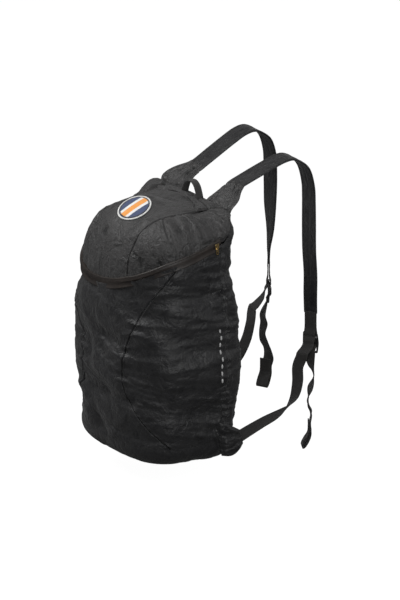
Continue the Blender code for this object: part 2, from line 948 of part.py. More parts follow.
def make_cuff(side, webbing):
    """Webbing cuff, doubled round the buckle's top bar and sewn to the strap's end."""
    centre, across, heading = buckle_frame(side)
    out = buckle_out(side)
    bar = centre + Vector((0, 0, buckle_bar + buckle_slot))
    wrap = buckle_bar / 2 + seam_gap * 1.6 + webbing_thickness / 2
    layer = webbing_thickness / 2 + seam_gap
    route = [
        (layer, cuff_length - seam_gap),
        (layer, cuff_length * 0.6),
        (layer * 1.3, cuff_length * 0.3),
        (wrap, wrap * 0.9),
        (wrap * 1.12, 0.0),
        (wrap * 0.8, -wrap * 0.9),
        (0.0, -wrap * 1.25),
        (-wrap * 0.8, -wrap * 0.9),
        (-wrap * 1.12, 0.0),
        (-wrap, wrap * 0.9),
        (-layer * 1.3, cuff_length * 0.3),
        (-layer, cuff_length * 0.6),
        (-layer, cuff_length - seam_gap),
    ]
    rows = []
    for outward, up in route:
        spot = bar + out * outward + Vector((0, 0, up))
        rows.append((*spot, heading, 0.0, webbing_width))
    ribbon("strap_cuff_" + side, smooth_path(rows, 2), webbing_thickness, webbing)


def make_ladder_lock(side, plastic):
    """Buckle of three bars between two rails."""
    centre, across, _ = buckle_frame(side)
    out = buckle_out(side)
    slot_half = (webbing_width + buckle_slot_play) / 2
    columns = [-slot_half - buckle_bar, -slot_half, slot_half, slot_half + buckle_bar]
    half_bar = buckle_bar / 2
    top = half_bar + buckle_slot + buckle_bar
    rows = [-top, -top + buckle_bar, -half_bar, half_bar, top - buckle_bar, top]
    holes = {(1, 1), (1, 3)}
    filled = {(c, r) for c in range(3) for r in range(5)} - holes
    points = []
    for face in (-0.5, 0.5):
        for row in rows:
            for column in columns:
                points.append(centre + across * column + Vector((0, 0, row)) + out * face * buckle_bar)
    width = len(columns)
    below = width * len(rows)
    faces = []
    for column, row in sorted(filled):
        a = row * width + column
        square = (a, a + 1, a + 1 + width, a + width)
        faces.append(square)
        faces.append(tuple(below + corner for corner in reversed(square)))
        neighbours = [
            ((column, row - 1), square[0], square[1]),
            ((column + 1, row), square[1], square[2]),
            ((column, row + 1), square[2], square[3]),
            ((column - 1, row), square[3], square[0]),
        ]
        for cell, start, end in neighbours:
            if cell not in filled:
                faces.append((start, below + start, below + end, end))
    name = "ladder_lock_" + side
    return new_object(name, closed_mesh(name, points, faces), plastic)


def tab_place(side):
    """Inner face, depth and height of one corner tab's tip, where the webbing starts."""
    turn = SIDES[side]
    face_x = bag_width / 2 * smooth_row(BODY_SECTIONS, anchor_height / back_height)[0]
    tip_y = back_depth * tab_seat_share + tab_length * tab_tip_share
    return turn, face_x, tip_y


def make_corner_tab(side, nylon):
    """Folded triangular tab at a bottom back corner, which carries the webbing."""
    turn, face_x, tip_y = tab_place(side)
    root = tip_y - tab_length * tab_tip_share
    inner = face_x + dent_depth + seam_gap
    outline = [
        # back, up, in shares of the tab's length and height
        (-0.28, 0.54),
        (0.10, -0.46),
        (tab_tip_share, -0.10),
        (0.66, 0.24),
        (0.48, 0.30),
    ]
    points = []
    for x in (inner, inner + tab_thickness):
        for back, up in outline:
            points.append(Vector((turn * x, root + back * tab_length, anchor_height + up * tab_height)))
    count = len(outline)
    faces = [tuple(range(count)), tuple(range(2 * count - 1, count - 1, -1))]
    for spot in range(count):
        after = (spot + 1) % count
        faces.append((spot, count + spot, count + after, after))
    name = "corner_tab_" + side
    return new_object(name, closed_mesh(name, points, faces), nylon)


def make_webbing(side, webbing):
    """Webbing from the corner tab to the buckle, round its bars and down to the sewn tail loop."""
    turn, face_x, tip_y = tab_place(side)
    anchor_x = face_x + dent_depth - webbing_thickness
    anchor_y = tip_y - tab_length * tab_anchor_share
    anchor = Vector((turn * anchor_x, anchor_y, anchor_height + tab_height * tab_anchor_rise))
    centre, across, heading = buckle_frame(side)
    out = buckle_out(side)
    millimetre = 0.001
    rows = []
    for sideways, back, height, pitch in LOAD_ROUTE:
        x = anchor.x + (centre.x - anchor.x) * sideways
        y = anchor.y + (centre.y - anchor.y) * back
        z = anchor.z + (centre.z - anchor.z) * height
        rows.append((x, y, z, heading, pitch * turn, webbing_width))
    for outward, up in FOLD_ROUTE[side] + BUCKLE_ROUTE:
        spot = centre + out * outward * millimetre + Vector((0, 0, up * millimetre))
        rows.append((*spot, heading, 0.0, webbing_width))
    foot = Vector(rows[-1][:3])
    hanging = tail_length + turn * tail_difference / 2
    for fall, sway, turned in TAIL_ROUTE[side]:
        y = foot.y + sway * webbing_width
        rows.append((foot.x, y, foot.z - fall * hanging, heading + turned, 0.0, webbing_width))
    end_heading = heading + TAIL_ROUTE[side][-1][2]
    swing = Vector((-math.sin(math.radians(end_heading)), math.cos(math.radians(end_heading)), 0))
    if swing.y > 0:
        swing = -swing
    low = Vector(rows[-1][:3])
    layer = webbing_thickness + seam_gap * 2
    loop = [
        # along the swing, down, from the loop's start
        (0.0, tail_loop * 0.35),
        (tail_loop * 0.10, tail_loop * 0.65),
        (tail_loop * 0.26, tail_loop * 0.92),
        (tail_loop * 0.38, tail_loop),
        (tail_loop * 0.41, tail_loop * 0.88),
        (tail_loop * 0.28, tail_loop * 0.60),
        (layer * 1.6, tail_loop * 0.34),
        (layer, tail_loop * 0.08),
        (layer, -tail_loop * 0.35),
    ]
    for sideways, down in loop:
        spot = low + swing * sideways - Vector((0, 0, down))
        rows.append((*spot, end_heading, 0.0, webbing_width))
    ribbon("webbing_" + side, smooth_path(rows, 2), webbing_thickness, webbing)


def make_haul_loop(webbing):
    """Small grab loop that stands on the lid's rear edge between the yokes."""
    y = rear_edge_y(0) - haul_width / 2 - cloth
    foot = lid_over(haul_span / 2, y).z + seam_gap
    half = haul_span / 2
    route = [
        (-half, 0.0),
        (-half, 0.35),
        (-half * 0.8, 0.75),
        (-half * 0.4, 0.95),
        (0.0, 1.0),
        (half * 0.4, 0.95),
        (half * 0.8, 0.75),
        (half, 0.35),
        (half, 0.0),
    ]
    rows = []
    for x, up in route:
        rows.append((x, y, foot + up * haul_height, 90.0, 0.0, haul_width))
    ribbon("haul_loop", smooth_path(rows, 2), webbing_thickness, webbing)


def plain_material(name, colour, roughness, metallic=0.0):
    """Principled material of one colour."""
    material = bpy.data.materials.new(name)
    material.use_nodes = True
    shader = material.node_tree.nodes["Principled BSDF"]
    shader.inputs["Base Color"].default_value = (*colour, 1.0)
    shader.inputs["Roughness"].default_value = roughness
    shader.inputs["Metallic"].default_value = metallic
    return material


def carry_point():
    """Point midway between the undersides of the two strap crowns."""
    root_y, root_z = yoke_root()
    y = root_y + yoke_reach + strap_crown_share * strap_reach
    z = root_z + yoke_rise + crown_rise - strap_thickness
    return Vector((0, y, z))


BAG_PLACE = -carry_point()


def main():
    """Clear the scene and build every sub-part."""
    for old in list(bpy.data.objects):
        bpy.data.objects.remove(old)
    nylon = plain_material("black_nylon", (0.022, 0.022, 0.024), 0.5)
    tape = plain_material("zip_tape", (0.020, 0.016, 0.014), 0.6)
    web = plain_material("strap_webbing", (0.030, 0.029, 0.028), 0.7)
    plastic = plain_material("buckle_plastic", (0.020, 0.020, 0.021), 0.4)
    brass = plain_material("zip_brass", (0.60, 0.42, 0.16), 0.35, 1.0)
    patch = plain_material("badge_cloth", (0.80, 0.34, 0.06), 0.7)
    make_walls(nylon)
    make_base(nylon)
    make_lid_top(nylon)
    make_zip_flap(tape)
    make_badge(patch)
    make_zip_pull(brass)
    make_haul_loop(web)
    for side in SIDES:
        make_lid_side(side, nylon)
        make_carry(side, nylon)
        make_cuff(side, web)
        make_ladder_lock(side, plastic)
        make_corner_tab(side, nylon)
        make_webbing(side, web)


main()
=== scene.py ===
"""Looks of the packable day bag: crinkled nylon, sewn seams, straps, webbing and badge.

Metres, +Z up. The bag is worked out with its base centre at zero and then moved by bag_place, as its
source does, so each piece lies where its CAD solid lies.
"""
import math

import bmesh
import bpy
import numpy as np
from mathutils import Matrix, Vector
from mathutils.bvhtree import BVHTree


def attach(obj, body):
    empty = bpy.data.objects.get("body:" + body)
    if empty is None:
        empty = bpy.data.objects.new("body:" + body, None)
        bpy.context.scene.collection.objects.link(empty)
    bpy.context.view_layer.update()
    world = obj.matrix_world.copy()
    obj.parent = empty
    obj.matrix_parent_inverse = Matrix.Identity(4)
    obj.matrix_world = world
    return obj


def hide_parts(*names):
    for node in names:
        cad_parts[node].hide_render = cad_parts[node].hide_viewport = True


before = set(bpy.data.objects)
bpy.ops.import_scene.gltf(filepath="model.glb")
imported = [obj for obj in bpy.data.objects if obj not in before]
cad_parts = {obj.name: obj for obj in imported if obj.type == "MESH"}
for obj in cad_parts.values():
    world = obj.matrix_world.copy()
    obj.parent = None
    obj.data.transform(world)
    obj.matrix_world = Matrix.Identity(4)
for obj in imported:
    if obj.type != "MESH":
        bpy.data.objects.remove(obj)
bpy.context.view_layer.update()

# Place and sizes of the bag, as in its source
bag_place = Vector((0.0, -0.1967, -0.4349))
back_height = 0.375
bag_width = 0.264
front_depth = 0.082
back_depth = 0.086
base_round = 0.030
base_sag = 0.003
side_seam_angle = 111.0
dent_depth = 0.004
zip_front_height = 0.264
zip_corner_height = 0.339
zip_gap = 0.0024
lid_crown = 0.0005
lid_panel_width = 0.150
lid_lean = 0.050
lean_fade_gain = 0.506
lean_fade_reach = 1.522
lid_roundness = 2.6
lid_front_power = 1.6
lid_side_power = 4.0
flap_width = 0.016
flap_end_setback = 2.0
flap_bridge = 3.0
flap_cloth = 0.0012
flap_clearance = 0.0010
flap_flare = 0.0015
badge_diameter = 0.054
badge_setback = 0.0265
badge_slope_back = 0.46
badge_slope_side = -0.13
badge_sink = 0.0050
badge_dome = 2.6
badge_squash = 0.91
badge_seat_reach = 0.060
badge_seat_fade = 0.034
seam_front_share = 0.80
pull_angle = 106.0
yoke_base_width = 0.082
yoke_base_offset = 0.0665
yoke_reach = 0.034
yoke_rise = 0.027
strap_offset = 0.057
strap_width = 0.038
strap_end_width = 0.023
strap_thickness = 0.0026
strap_reach = 0.122
crown_rise = 0.0355
crown_difference = 0.014
strap_drop = 0.230
drop_difference = 0.032
webbing_width = 0.020
webbing_thickness = 0.0015
cuff_length = 0.032
buckle_bar = 0.003
buckle_slot = 0.0105
buckle_slot_play = 0.0015
tail_length = 0.117
tail_difference = 0.018
tail_loop = 0.030
tab_length = 0.046
tab_height = 0.058
tab_thickness = 0.002
anchor_height = 0.031
haul_span = 0.044
haul_height = 0.022
haul_width = 0.012
seam_gap = 0.0003

# Cloth and thread
cloth = 0.0012
around_radius = 0.125
wall_rows = 142
bag_centre = (0.0, 0.0, 0.19)
front_drop = zip_gap / 2
rear_drop = zip_gap / 2 + cloth + seam_gap
lid_half = lid_panel_width / 2 - seam_gap / 2
stitch_pitch = 0.0034
stitch_length = 0.0024
thread_radius = 0.00028
thread_reach = 0.004
# Black thread lines along the lid's rear seams, a painted shadow of the seams' grooves
seam_shadow_pitch = 0.0040
seam_shadow_length = 0.0044
seam_shadow_radius = 0.0008
seam_shadow_shift = 0.0016
dash_pitch = 0.0108
dash_length = 0.0076
dash_radius = 0.0016
dash_turn = 4.6
dash_rise = (0.33, 0.58)
yoke_thickness = 0.0018
strap_hem = 0.0005
webbing_selvage = 0.00012
cuff_overlap = 0.0018
flap_tape = 0.0008
badge_cloth = 0.0012
badge_lift = 0.0022
rim_width = 0.0016
rim_lift = 0.0016
buckle_rounding = 0.0008
pull_rounding = 0.0002

# Camera: the strap crowns' middle, where the frame has its zero, is seen at crowns_seen_at
camera_azimuth = 60.0
camera_elevation = 17.0
pixels_per_metre = 677.0
picture_size = (400, 600)
crowns_seen_at = (265.3, 144.0)
camera_distance = 3.0

# Studio
seen_white = 1.05
surround_light = 0.17
floor_seen = 0.97
floor_grey = 0.14
floor_height = -0.475
floor_half = 6.0
bag_middle = Vector((0, -0.15, -0.25))
SOFT_BOXES = [
    # name, place, size, power
    ("top box", (-0.15, -0.60, 0.95), 0.7, 5.9),
    ("front box", (-0.35, -0.78, 0.42), 0.4, 3.4),
    ("side box", (1.35, -0.60, 0.38), 0.9, 11.0),
    ("back box", (0.5, 1.4, 0.5), 0.9, 4.0),
]

BODY_SECTIONS = [
    # height, width, front, back, front_square, back_square
    (0.08, 0.95, 0.955, 0.93, 2.7, 6.0),
    (0.20, 0.99, 0.985, 0.99, 2.8, 7.0),
    (0.33, 1.01, 1.000, 1.02, 2.8, 8.0),
    (0.48, 1.02, 1.005, 1.03, 2.9, 8.0),
    (0.60, 1.01, 1.000, 0.99, 2.8, 8.0),
    (0.70, 0.98, 0.955, 0.95, 2.4, 7.0),
    (0.80, 0.96, 0.975, 0.92, 2.6, 6.0),
    (0.90, 0.97, 1.000, 0.92, 2.8, 6.0),
    (1.00, 0.98, 1.000, 0.93, 2.8, 6.0),
]
ZIP_RISE = [
    # angle, right_rise, left_rise
    (0.00, 0.00, 0.00),
    (0.20, 0.09, -0.03),
    (0.40, 0.26, 0.00),
    (0.54, 0.45, 0.09),
    (0.65, 0.62, 0.28),
    (0.81, 0.78, 0.62),
    (1.00, 1.00, 1.00),
]
FRONT_SEAM = [
    # height_share, angle
    (0.00, 74.0),
    (0.10, 60.0),
    (0.20, 49.0),
    (0.31, 39.5),
    (0.45, 35.5),
    (0.60, 39.5),
    (0.75, 50.0),
    (0.85, 60.5),
    (0.93, 71.0),
    (1.00, 80.0),
]
DENTS = [
    # angle, height, angle_spread, height_spread, depth
    (16.0, 0.49, 30.0, 0.035, 1.0),
    (-2.0, 0.26, 34.0, 0.035, 0.9),
    (-4.0, 0.36, 30.0, 0.045, -0.7),
    (-60.0, 0.17, 26.0, 0.030, 0.6),
    (-62.0, 0.50, 22.0, 0.050, -0.5),
    (60.0, 0.62, 24.0, 0.040, 0.7),
    (92.0, 0.70, 18.0, 0.025, 0.8),
    (88.0, 0.40, 20.0, 0.060, -0.6),
    (96.0, 0.22, 18.0, 0.030, 0.7),
    (-94.0, 0.66, 20.0, 0.030, 0.8),
    (-90.0, 0.36, 22.0, 0.060, -0.6),
    (160.0, 0.66, 26.0, 0.050, 0.9),
    (196.0, 0.42, 30.0, 0.060, 0.7),
    (150.0, 0.20, 22.0, 0.050, 0.6),
]
YOKE_ROUTE = [
    # reach, rise, offset_blend, width_blend
    (0.00, -0.18, 0.00, 0.00),
    (0.03, 0.04, 0.00, 0.03),
    (0.22, 0.32, 0.20, 0.30),
    (0.55, 0.66, 0.60, 0.70),
    (0.80, 0.86, 0.85, 0.90),
    (1.00, 1.00, 1.00, 1.00),
]
YOKE_PITCH = {
    # degrees at each row of YOKE_ROUTE
    "right": [-3.0, -3.0, -2.0, 0.0, 0.0, 0.0],
    "left": [7.0, 7.0, 5.0, 3.0, 1.0, 0.0],
}
# Cut off each edge of the yoke at each row of YOKE_ROUTE
YOKE_TRIM = [0.008, 0.0035, 0.0, 0.0, 0.0, 0.0]
YOKE_SEED = {"right": 200, "left": 230}
STRAP_ROUTE = [
    # reach, arch, drop, taper, turn_share
    (0.20, 0.33, 0.00, 0.00, 0.00),
    (0.40, 0.66, 0.00, 0.00, 0.00),
    (0.58, 0.92, 0.00, 0.00, 0.00),
    (0.72, 1.00, 0.005, 0.00, 0.00),
    (0.86, 1.00, 0.045, 0.00, 0.00),
    (0.94, 1.00, 0.100, 0.00, 0.00),
    (0.99, 1.00, 0.200, 0.00, 0.00),
    (1.00, 1.00, 0.300, 0.00, 0.00),
    (1.00, 1.00, 0.440, 0.00, 0.04),
    (1.00, 1.00, 0.600, 0.15, 0.12),
    (1.01, 1.00, 0.760, 0.55, 0.40),
    (1.00, 1.00, 0.890, 0.85, 0.80),
    (1.00, 1.00, 1.000, 1.00, 1.00),
]
strap_turn = {"right": 26.0, "left": 30.0}
LOAD_ROUTE = [
    # side, back, height, pitch
    (0.00, 0.00, 0.00, 90.0),
    (0.04, 0.10, 0.05, 88.0),
    (0.16, 0.30, 0.125, 80.0),
    (0.34, 0.50, 0.165, 66.0),
    (0.50, 0.64, 0.21, 45.0),
    (0.64, 0.745, 0.32, 24.0),
    (0.78, 0.81, 0.50, 8.0),
    (0.88, 0.835, 0.69, 2.0),
]
BUCKLE_ROUTE = [
    # out, up, in millimetres
    (-6.2, -1.6),
    (-5.4, 3.6),
    (-1.6, 9.0),
    (2.6, 4.4),
    (3.4, -1.5),
    (1.2, -5.0),
    (-1.2, -8.5),
    (-3.0, -12.5),
    (-2.8, -17.0),
]
FOLD_ROUTE = {
    "right": [
        # out, up in millimetres
        (-24.0, -17.0),
        (-22.8, -12.6),
        (-18.0, -9.6),
        (-11.0, -6.4),
    ],
    "left": [
        # out, up in millimetres
        (-25.0, -30.0),
        (-23.0, -25.0),
        (-18.0, -20.0),
        (-10.0, -10.0),
    ],
}
LOAD_TWIST = {
    # degrees at each row of LOAD_ROUTE
    "right": [0.0] * 8,
    "left": [0.0, 0.0, 6.0, 18.0, 34.0, 42.0, 42.0, 40.0],
}
FOLD_TWIST = {
    # degrees at each row of FOLD_ROUTE
    "right": [0.0] * 4,
    "left": [38.0, 34.0, 28.0, 14.0],
}
TAIL_ROUTE = {
    "right": [
        # fall, sway, turn
        (0.16, 0.12, -30.0),
        (0.29, 0.36, -58.0),
        (0.42, 0.06, -36.0),
        (0.55, -0.14, -62.0),
        (0.67, 0.02, -40.0),
        (0.78, 0.10, -64.0),
        (0.90, 0.06, -50.0),
    ],
    "left": [
        # fall, sway, turn
        (0.16, -0.34, 22.0),
        (0.29, -0.24, 32.0),
        (0.42, -0.38, 26.0),
        (0.55, -0.24, 38.0),
        (0.67, 0.06, 34.0),
        (0.80, 0.16, 48.0),
        (0.90, -0.04, 56.0),
    ],
}
HAUL_ROUTE = [
    # share of half the span, share of the height
    (-1.00, 0.00),
    (-0.86, 0.36),
    (-0.62, 0.76),
    (-0.30, 0.97),
    (0.00, 1.02),
    (0.30, 0.97),
    (0.62, 0.76),
    (0.86, 0.36),
    (1.00, 0.00),
]
FLAP_PROFILE = [
    # share of the flap's width above the zip line, out in millimetres
    (0.44, -5.0),
    (0.50, -1.6),
    (0.50, 0.2),
    (0.44, 0.9),
    (0.38, 1.1),
    (0.31, 0.75),
    (0.24, 1.1),
    (0.10, 1.3),
    (-0.05, 1.25),
    (-0.20, 1.15),
    (-0.34, 1.1),
    (-0.42, 1.35),
    (-0.48, 1.45),
    (-0.52, 1.0),
    (-0.50, 0.3),
]
SIDES = {"right": 1, "left": -1}


def smooth_row(rows, key):
    """Values of a table at key, on a smooth curve through its rows; column 0 holds the keys."""
    last = len(rows) - 1
    spot = 0
    while spot < last - 1 and key > rows[spot + 1][0]:
        spot += 1
    before = rows[max(spot - 1, 0)]
    low = rows[spot]
    high = rows[spot + 1]
    after = rows[min(spot + 2, last)]
    span = high[0] - low[0]
    step = min(max((key - low[0]) / span, 0.0), 1.0)
    values = []
    for column in range(1, len(low)):
        slope_low = (high[column] - before[column]) / (high[0] - before[0]) * span
        slope_high = (after[column] - low[column]) / (after[0] - low[0]) * span
        square = step * step
        cube = square * step
        values.append(
            (2 * cube - 3 * square + 1) * low[column]
            + (cube - 2 * square + step) * slope_low
            + (3 * square - 2 * cube) * high[column]
            + (cube - square) * slope_high
        )
    return values


def fine_table(rows):
    """A table read closely, as its keys and its columns."""
    keys = np.linspace(rows[0][0], rows[-1][0], 1201)
    columns = np.array([smooth_row(rows, key) for key in keys]).T
    return keys, columns


SECTIONS = fine_table(BODY_SECTIONS)
RISES = fine_table(ZIP_RISE)
SEAM = fine_table(FRONT_SEAM)


def read_table(table, key):
    """Columns of a finely read table at an array of keys."""
    keys, columns = table
    return [np.interp(key, keys, column) for column in columns]


def smooth_path(rows, steps):
    """Rows of numbers sampled evenly between each pair of rows, on a curve through them all."""
    samples = []
    last = len(rows) - 1
    for spot in range(last):
        before = rows[max(spot - 1, 0)]
        after = rows[min(spot + 2, last)]
        for step in range(steps):
            share = step / steps
            sample = []
            for p0, p1, p2, p3 in zip(before, rows[spot], rows[spot + 1], after):
                sample.append(0.5 * (
                    2 * p1 + (p2 - p0) * share
                    + (2 * p0 - 5 * p1 + 4 * p2 - p3) * share ** 2
                    + (3 * p1 - p0 - 3 * p2 + p3) * share ** 3
                ))
            samples.append(sample)
    samples.append(list(rows[last]))
    return samples


def eased(share):
    """Share from 0 to 1 that starts and ends gently."""
    return share * share * (3 - 2 * share)


def hill(value, middle, spread):
    """Bump of height 1 at the middle that falls away over the spread."""
    return np.exp(-((value - middle) / spread) ** 2)


def between(share, first, last):
    """Factor that climbs from 0 over the first part of a run and falls to 0 over the last."""
    return np.clip(share / first, 0, 1) * np.clip((1 - share) / last, 0, 1)


def halved(low, high, inside, rounds):
    """Values between low and high at which the inside test stops holding."""
    for _ in range(rounds):
        middle = (low + high) / 2
        held = inside(middle)
        low = np.where(held, middle, low)
        high = np.where(held, high, middle)
    return low


def up_by(height):
    """Vector straight up."""
    return np.array((0.0, 0.0, height))


def level_at(heading):
    """Level unit vector at a heading in degrees."""
    turned = math.radians(heading)
    return np.array((math.cos(turned), math.sin(turned), 0.0))


def wrapped(angle):
    """Angles in degrees between -180 and 180."""
    return (angle + 180.0) % 360.0 - 180.0


def dent_at(angle, height):
    """How far the wall lies inside its plain section."""
    total = 0.0
    for dent_angle, dent_height, angle_spread, height_spread, depth in DENTS:
        across = wrapped(angle - dent_angle) / angle_spread
        upward = (height / back_height - dent_height) / height_spread
        total = total + depth * np.exp(-across * across - upward * upward)
    return total * dent_depth


def outline_radius(angle, height):
    """Distance from the bag's axis to the outer face of its wall; angle 0 is the front centre."""
    width, front, back, front_square, back_square = read_table(SECTIONS, height / back_height)
    sine = np.abs(np.sin(np.radians(angle)))
    cosine = np.cos(np.radians(angle))
    depth = np.where(cosine >= 0, front_depth * front, back_depth * back)
    power = np.where(cosine >= 0, front_square, back_square)
    half = bag_width / 2 * width
    plain = ((sine / half) ** power + (np.abs(cosine) / depth) ** power) ** (-1 / power)
    return plain - dent_at(angle, height)


def on_axis(radius, angle, height):
    """Points at a distance from the bag's axis."""
    turned = np.radians(angle)
    return np.stack([radius * np.sin(turned), -radius * np.cos(turned), height + 0 * turned], axis=-1)


def edge_height(angle):
    """Height of the zip line, and of the back's top edge behind the side seams."""
    turned = wrapped(np.asarray(angle, float))
    share = np.abs(turned) / side_seam_angle
    right_rise, left_rise = read_table(RISES, np.minimum(share, 1.0))
    rise = np.where(turned >= 0, right_rise, left_rise)
    ahead = zip_front_height + rise * (zip_corner_height - zip_front_height)
    corner_angle = 180.0 - math.degrees(math.atan2(bag_width / 2, back_depth))
    climb = (np.abs(turned) - side_seam_angle) / (corner_angle - side_seam_angle + 3.0)
    plan = on_axis(outline_radius(turned, back_height + 0 * turned), turned, 0.0)
    rear_height = back_height - lean_at(plan[..., 0], plan[..., 1])
    behind = zip_corner_height + eased(np.clip(climb, 0.0, 1.0)) * (rear_height - zip_corner_height)
    return np.where(share <= 1.0, ahead, behind)


def lean_at(x, y):
    """How far the slack lid lies lower over the wearer's left front."""
    fade = eased(np.clip(lean_fade_gain * (lean_fade_reach - y / back_depth), 0.0, 1.0))
    return np.where(x < 0, lid_lean * fade * (2 * x / bag_width) ** 2, 0.0)


def lid_point(angle, reach):
    """Points on the lid's outer face; reach runs from 0 at the middle to 1 at its edge."""
    angle = np.asarray(angle, float)
    height = edge_height(angle)
    edge = on_axis(outline_radius(angle, height), angle, height)
    x = edge[..., 0] * reach
    y = edge[..., 1] * reach
    top = back_height + lid_crown - lean_at(x, y)
    side_share = np.sin(np.radians(angle)) ** 2
    plan_power = lid_front_power + (lid_side_power - lid_front_power) * side_share
    plan_power = np.where(np.cos(np.radians(angle)) < 0, lid_side_power, plan_power)
    climb = np.maximum(1.0 - reach ** plan_power, 0.0) ** (1 / lid_roundness)
    return np.stack([x, y, height + (top - height) * climb], axis=-1)


def lid_over(x, y):
    """Points on the lid's outer face above places in plan, with the flatter seat of the badge."""
    angle = np.degrees(np.arctan2(x, -y))
    edge = outline_radius(angle, edge_height(angle))
    points = lid_point(angle, np.minimum(np.hypot(x, y) / edge, 1.0))
    back = y + badge_setback
    away = np.hypot(x, back / badge_squash)
    seat = back_height + lid_crown - badge_sink + badge_slope_back * back + badge_slope_side * x
    seat = seat - badge_dome * away * away
    share = eased(np.clip((badge_seat_reach - away) / badge_seat_fade, 0.0, 1.0))
    points[..., 2] = points[..., 2] + (seat - points[..., 2]) * share
    return points


def lid_radius(angle, height):
    """Distance from the axis to the lid's face at heights a little above its edge."""
    angle = np.asarray(angle, float)
    reach = halved(0.5 + 0 * angle, 1.0 + 0 * angle,
                   lambda middle: lid_point(angle, middle)[..., 2] > height, 24)
    return outline_radius(angle, edge_height(angle)) * reach


def flap_radius(angle, height):
    """Distance from the axis to the inner face of the flap, which flares at its lower edge."""
    edge_z = edge_height(angle)
    flare = flap_flare * np.maximum(edge_z - height, 0.0) * 2 / flap_width
    lift = np.maximum(height - edge_z, 0.0)
    over = lid_radius(angle, edge_z + lift)
    for turn in (-flap_bridge, flap_bridge):
        over = np.maximum(over, lid_radius(angle + turn, edge_height(angle + turn) + lift))
    wall = np.where(height > edge_z, over, outline_radius(angle, height))
    return wall + flap_clearance + flare


def cloth_noise(across, along, seed):
    """Smooth noise from -1 to 1 over a plane, one unit to a step."""
    size = 64
    table = np.random.default_rng(seed).uniform(-1, 1, (size, size))
    column = np.floor(across).astype(int)
    row = np.floor(along).astype(int)
    u = across - column
    v = along - row
    u = u * u * u * (u * (u * 6 - 15) + 10)
    v = v * v * v * (v * (v * 6 - 15) + 10)
    near = table[row % size, column % size] * (1 - u) + table[row % size, (column + 1) % size] * u
    far_row = (row + 1) % size
    far = table[far_row, column % size] * (1 - u) + table[far_row, (column + 1) % size] * u
    return near * (1 - v) + far * v


def creases(across, along, seed):
    """Sharp crests between soft hollows, from -1 to 1."""
    bend = cloth_noise(across * 0.7 + 9.0, along * 0.7, seed + 50) * 0.6
    first = 1 - 2 * np.abs(cloth_noise(across + bend, along + bend, seed))
    second = 1 - 2 * np.abs(cloth_noise(across * 2.1 + 5.0, along * 2.1 + bend, seed + 1))
    return first * 0.7 + second * 0.3


def fade_from(distance, span):
    """Share that is 1 at a seam and falls away from it."""
    return np.exp(-np.abs(distance) / span)


def grid_normals(points, centre=bag_centre):
    """Unit normals of a grid of points, all turned away from centre together."""
    along = np.gradient(points, axis=0)
    across = np.gradient(points, axis=1)
    normals = np.cross(along, across)
    normals /= np.maximum(np.linalg.norm(normals, axis=-1, keepdims=True), 1e-12)
    if np.sum(normals * (points - np.array(centre))) < 0:
        normals = -normals
    return normals


def placed(name, data):
    """Object of some data, linked to the scene."""
    holder = bpy.data.objects.new(name, data)
    bpy.context.scene.collection.objects.link(holder)
    return holder


def mend(mesh, fill=False):
    """Turn a mesh's faces outwards, and first fill its open holes where asked."""
    shape = bmesh.new()
    shape.from_mesh(mesh)
    if fill:
        bmesh.ops.holes_fill(shape, edges=[edge for edge in shape.edges if edge.is_boundary])
    bmesh.ops.recalc_face_normals(shape, faces=shape.faces)
    shape.to_mesh(mesh)
    shape.free()


def mesh_piece(name, points, faces, material, slot, uv=None):
    """Piece from points in the bag's frame, moved to where the bag is worn."""
    mesh = bpy.data.meshes.new(name)
    mesh.from_pydata([tuple(point) for point in points], [], faces)
    if uv is not None:
        layer = mesh.uv_layers.new(name="UVMap")
        spots = np.zeros(len(mesh.loops), int)
        mesh.loops.foreach_get("vertex_index", spots)
        layer.data.foreach_set("uv", np.asarray(uv, float)[spots].ravel())
    mend(mesh)
    mesh.transform(Matrix.Translation(bag_place))
    mesh.shade_smooth()
    mesh.set_sharp_from_angle(angle=math.radians(50))
    mesh.materials.append(material)
    piece = placed(name, mesh)
    piece["slot"] = slot
    return piece


def tube_faces(rings, count, closed):
    """Faces between rings of count points each; closed joins the last ring to the first."""
    faces = []
    for ring in range(rings if closed else rings - 1):
        start = ring * count
        after = (ring + 1) % rings * count
        for corner in range(count):
            follow = (corner + 1) % count
            faces.append((start + corner, start + follow, after + follow, after + corner))
    return faces


def cloth_piece(name, points, thickness, material, slot="nylon", centre=bag_centre, around=False):
    """Closed cloth wall whose outer face is a grid of points."""
    rows, columns = points.shape[:2]
    inner = points - grid_normals(points, centre) * thickness
    everything = np.concatenate([points.reshape(-1, 3), inner.reshape(-1, 3)])
    below = rows * columns
    faces = []
    for row in range(rows if around else rows - 1):
        after = (row + 1) % rows
        for column in range(columns - 1):
            a = row * columns + column
            d = after * columns + column
            faces.append((a, a + 1, d + 1, d))
            faces.append((below + d, below + d + 1, below + a + 1, below + a))
    if around:
        edges = []
        for row in range(rows):
            after = (row + 1) % rows
            edges.append((row * columns + columns - 1, after * columns + columns - 1))
            edges.append((after * columns, row * columns))
    else:
        rim = list(range(columns))
        rim += [row * columns + columns - 1 for row in range(1, rows)]
        rim += [(rows - 1) * columns + column for column in range(columns - 2, -1, -1)]
        rim += [row * columns for row in range(rows - 2, 0, -1)]
        edges = list(zip(rim, rim[1:] + rim[:1]))
    for start, end in edges:
        faces.append((start, below + start, below + end, end))
    return mesh_piece(name, everything, faces, material, slot)


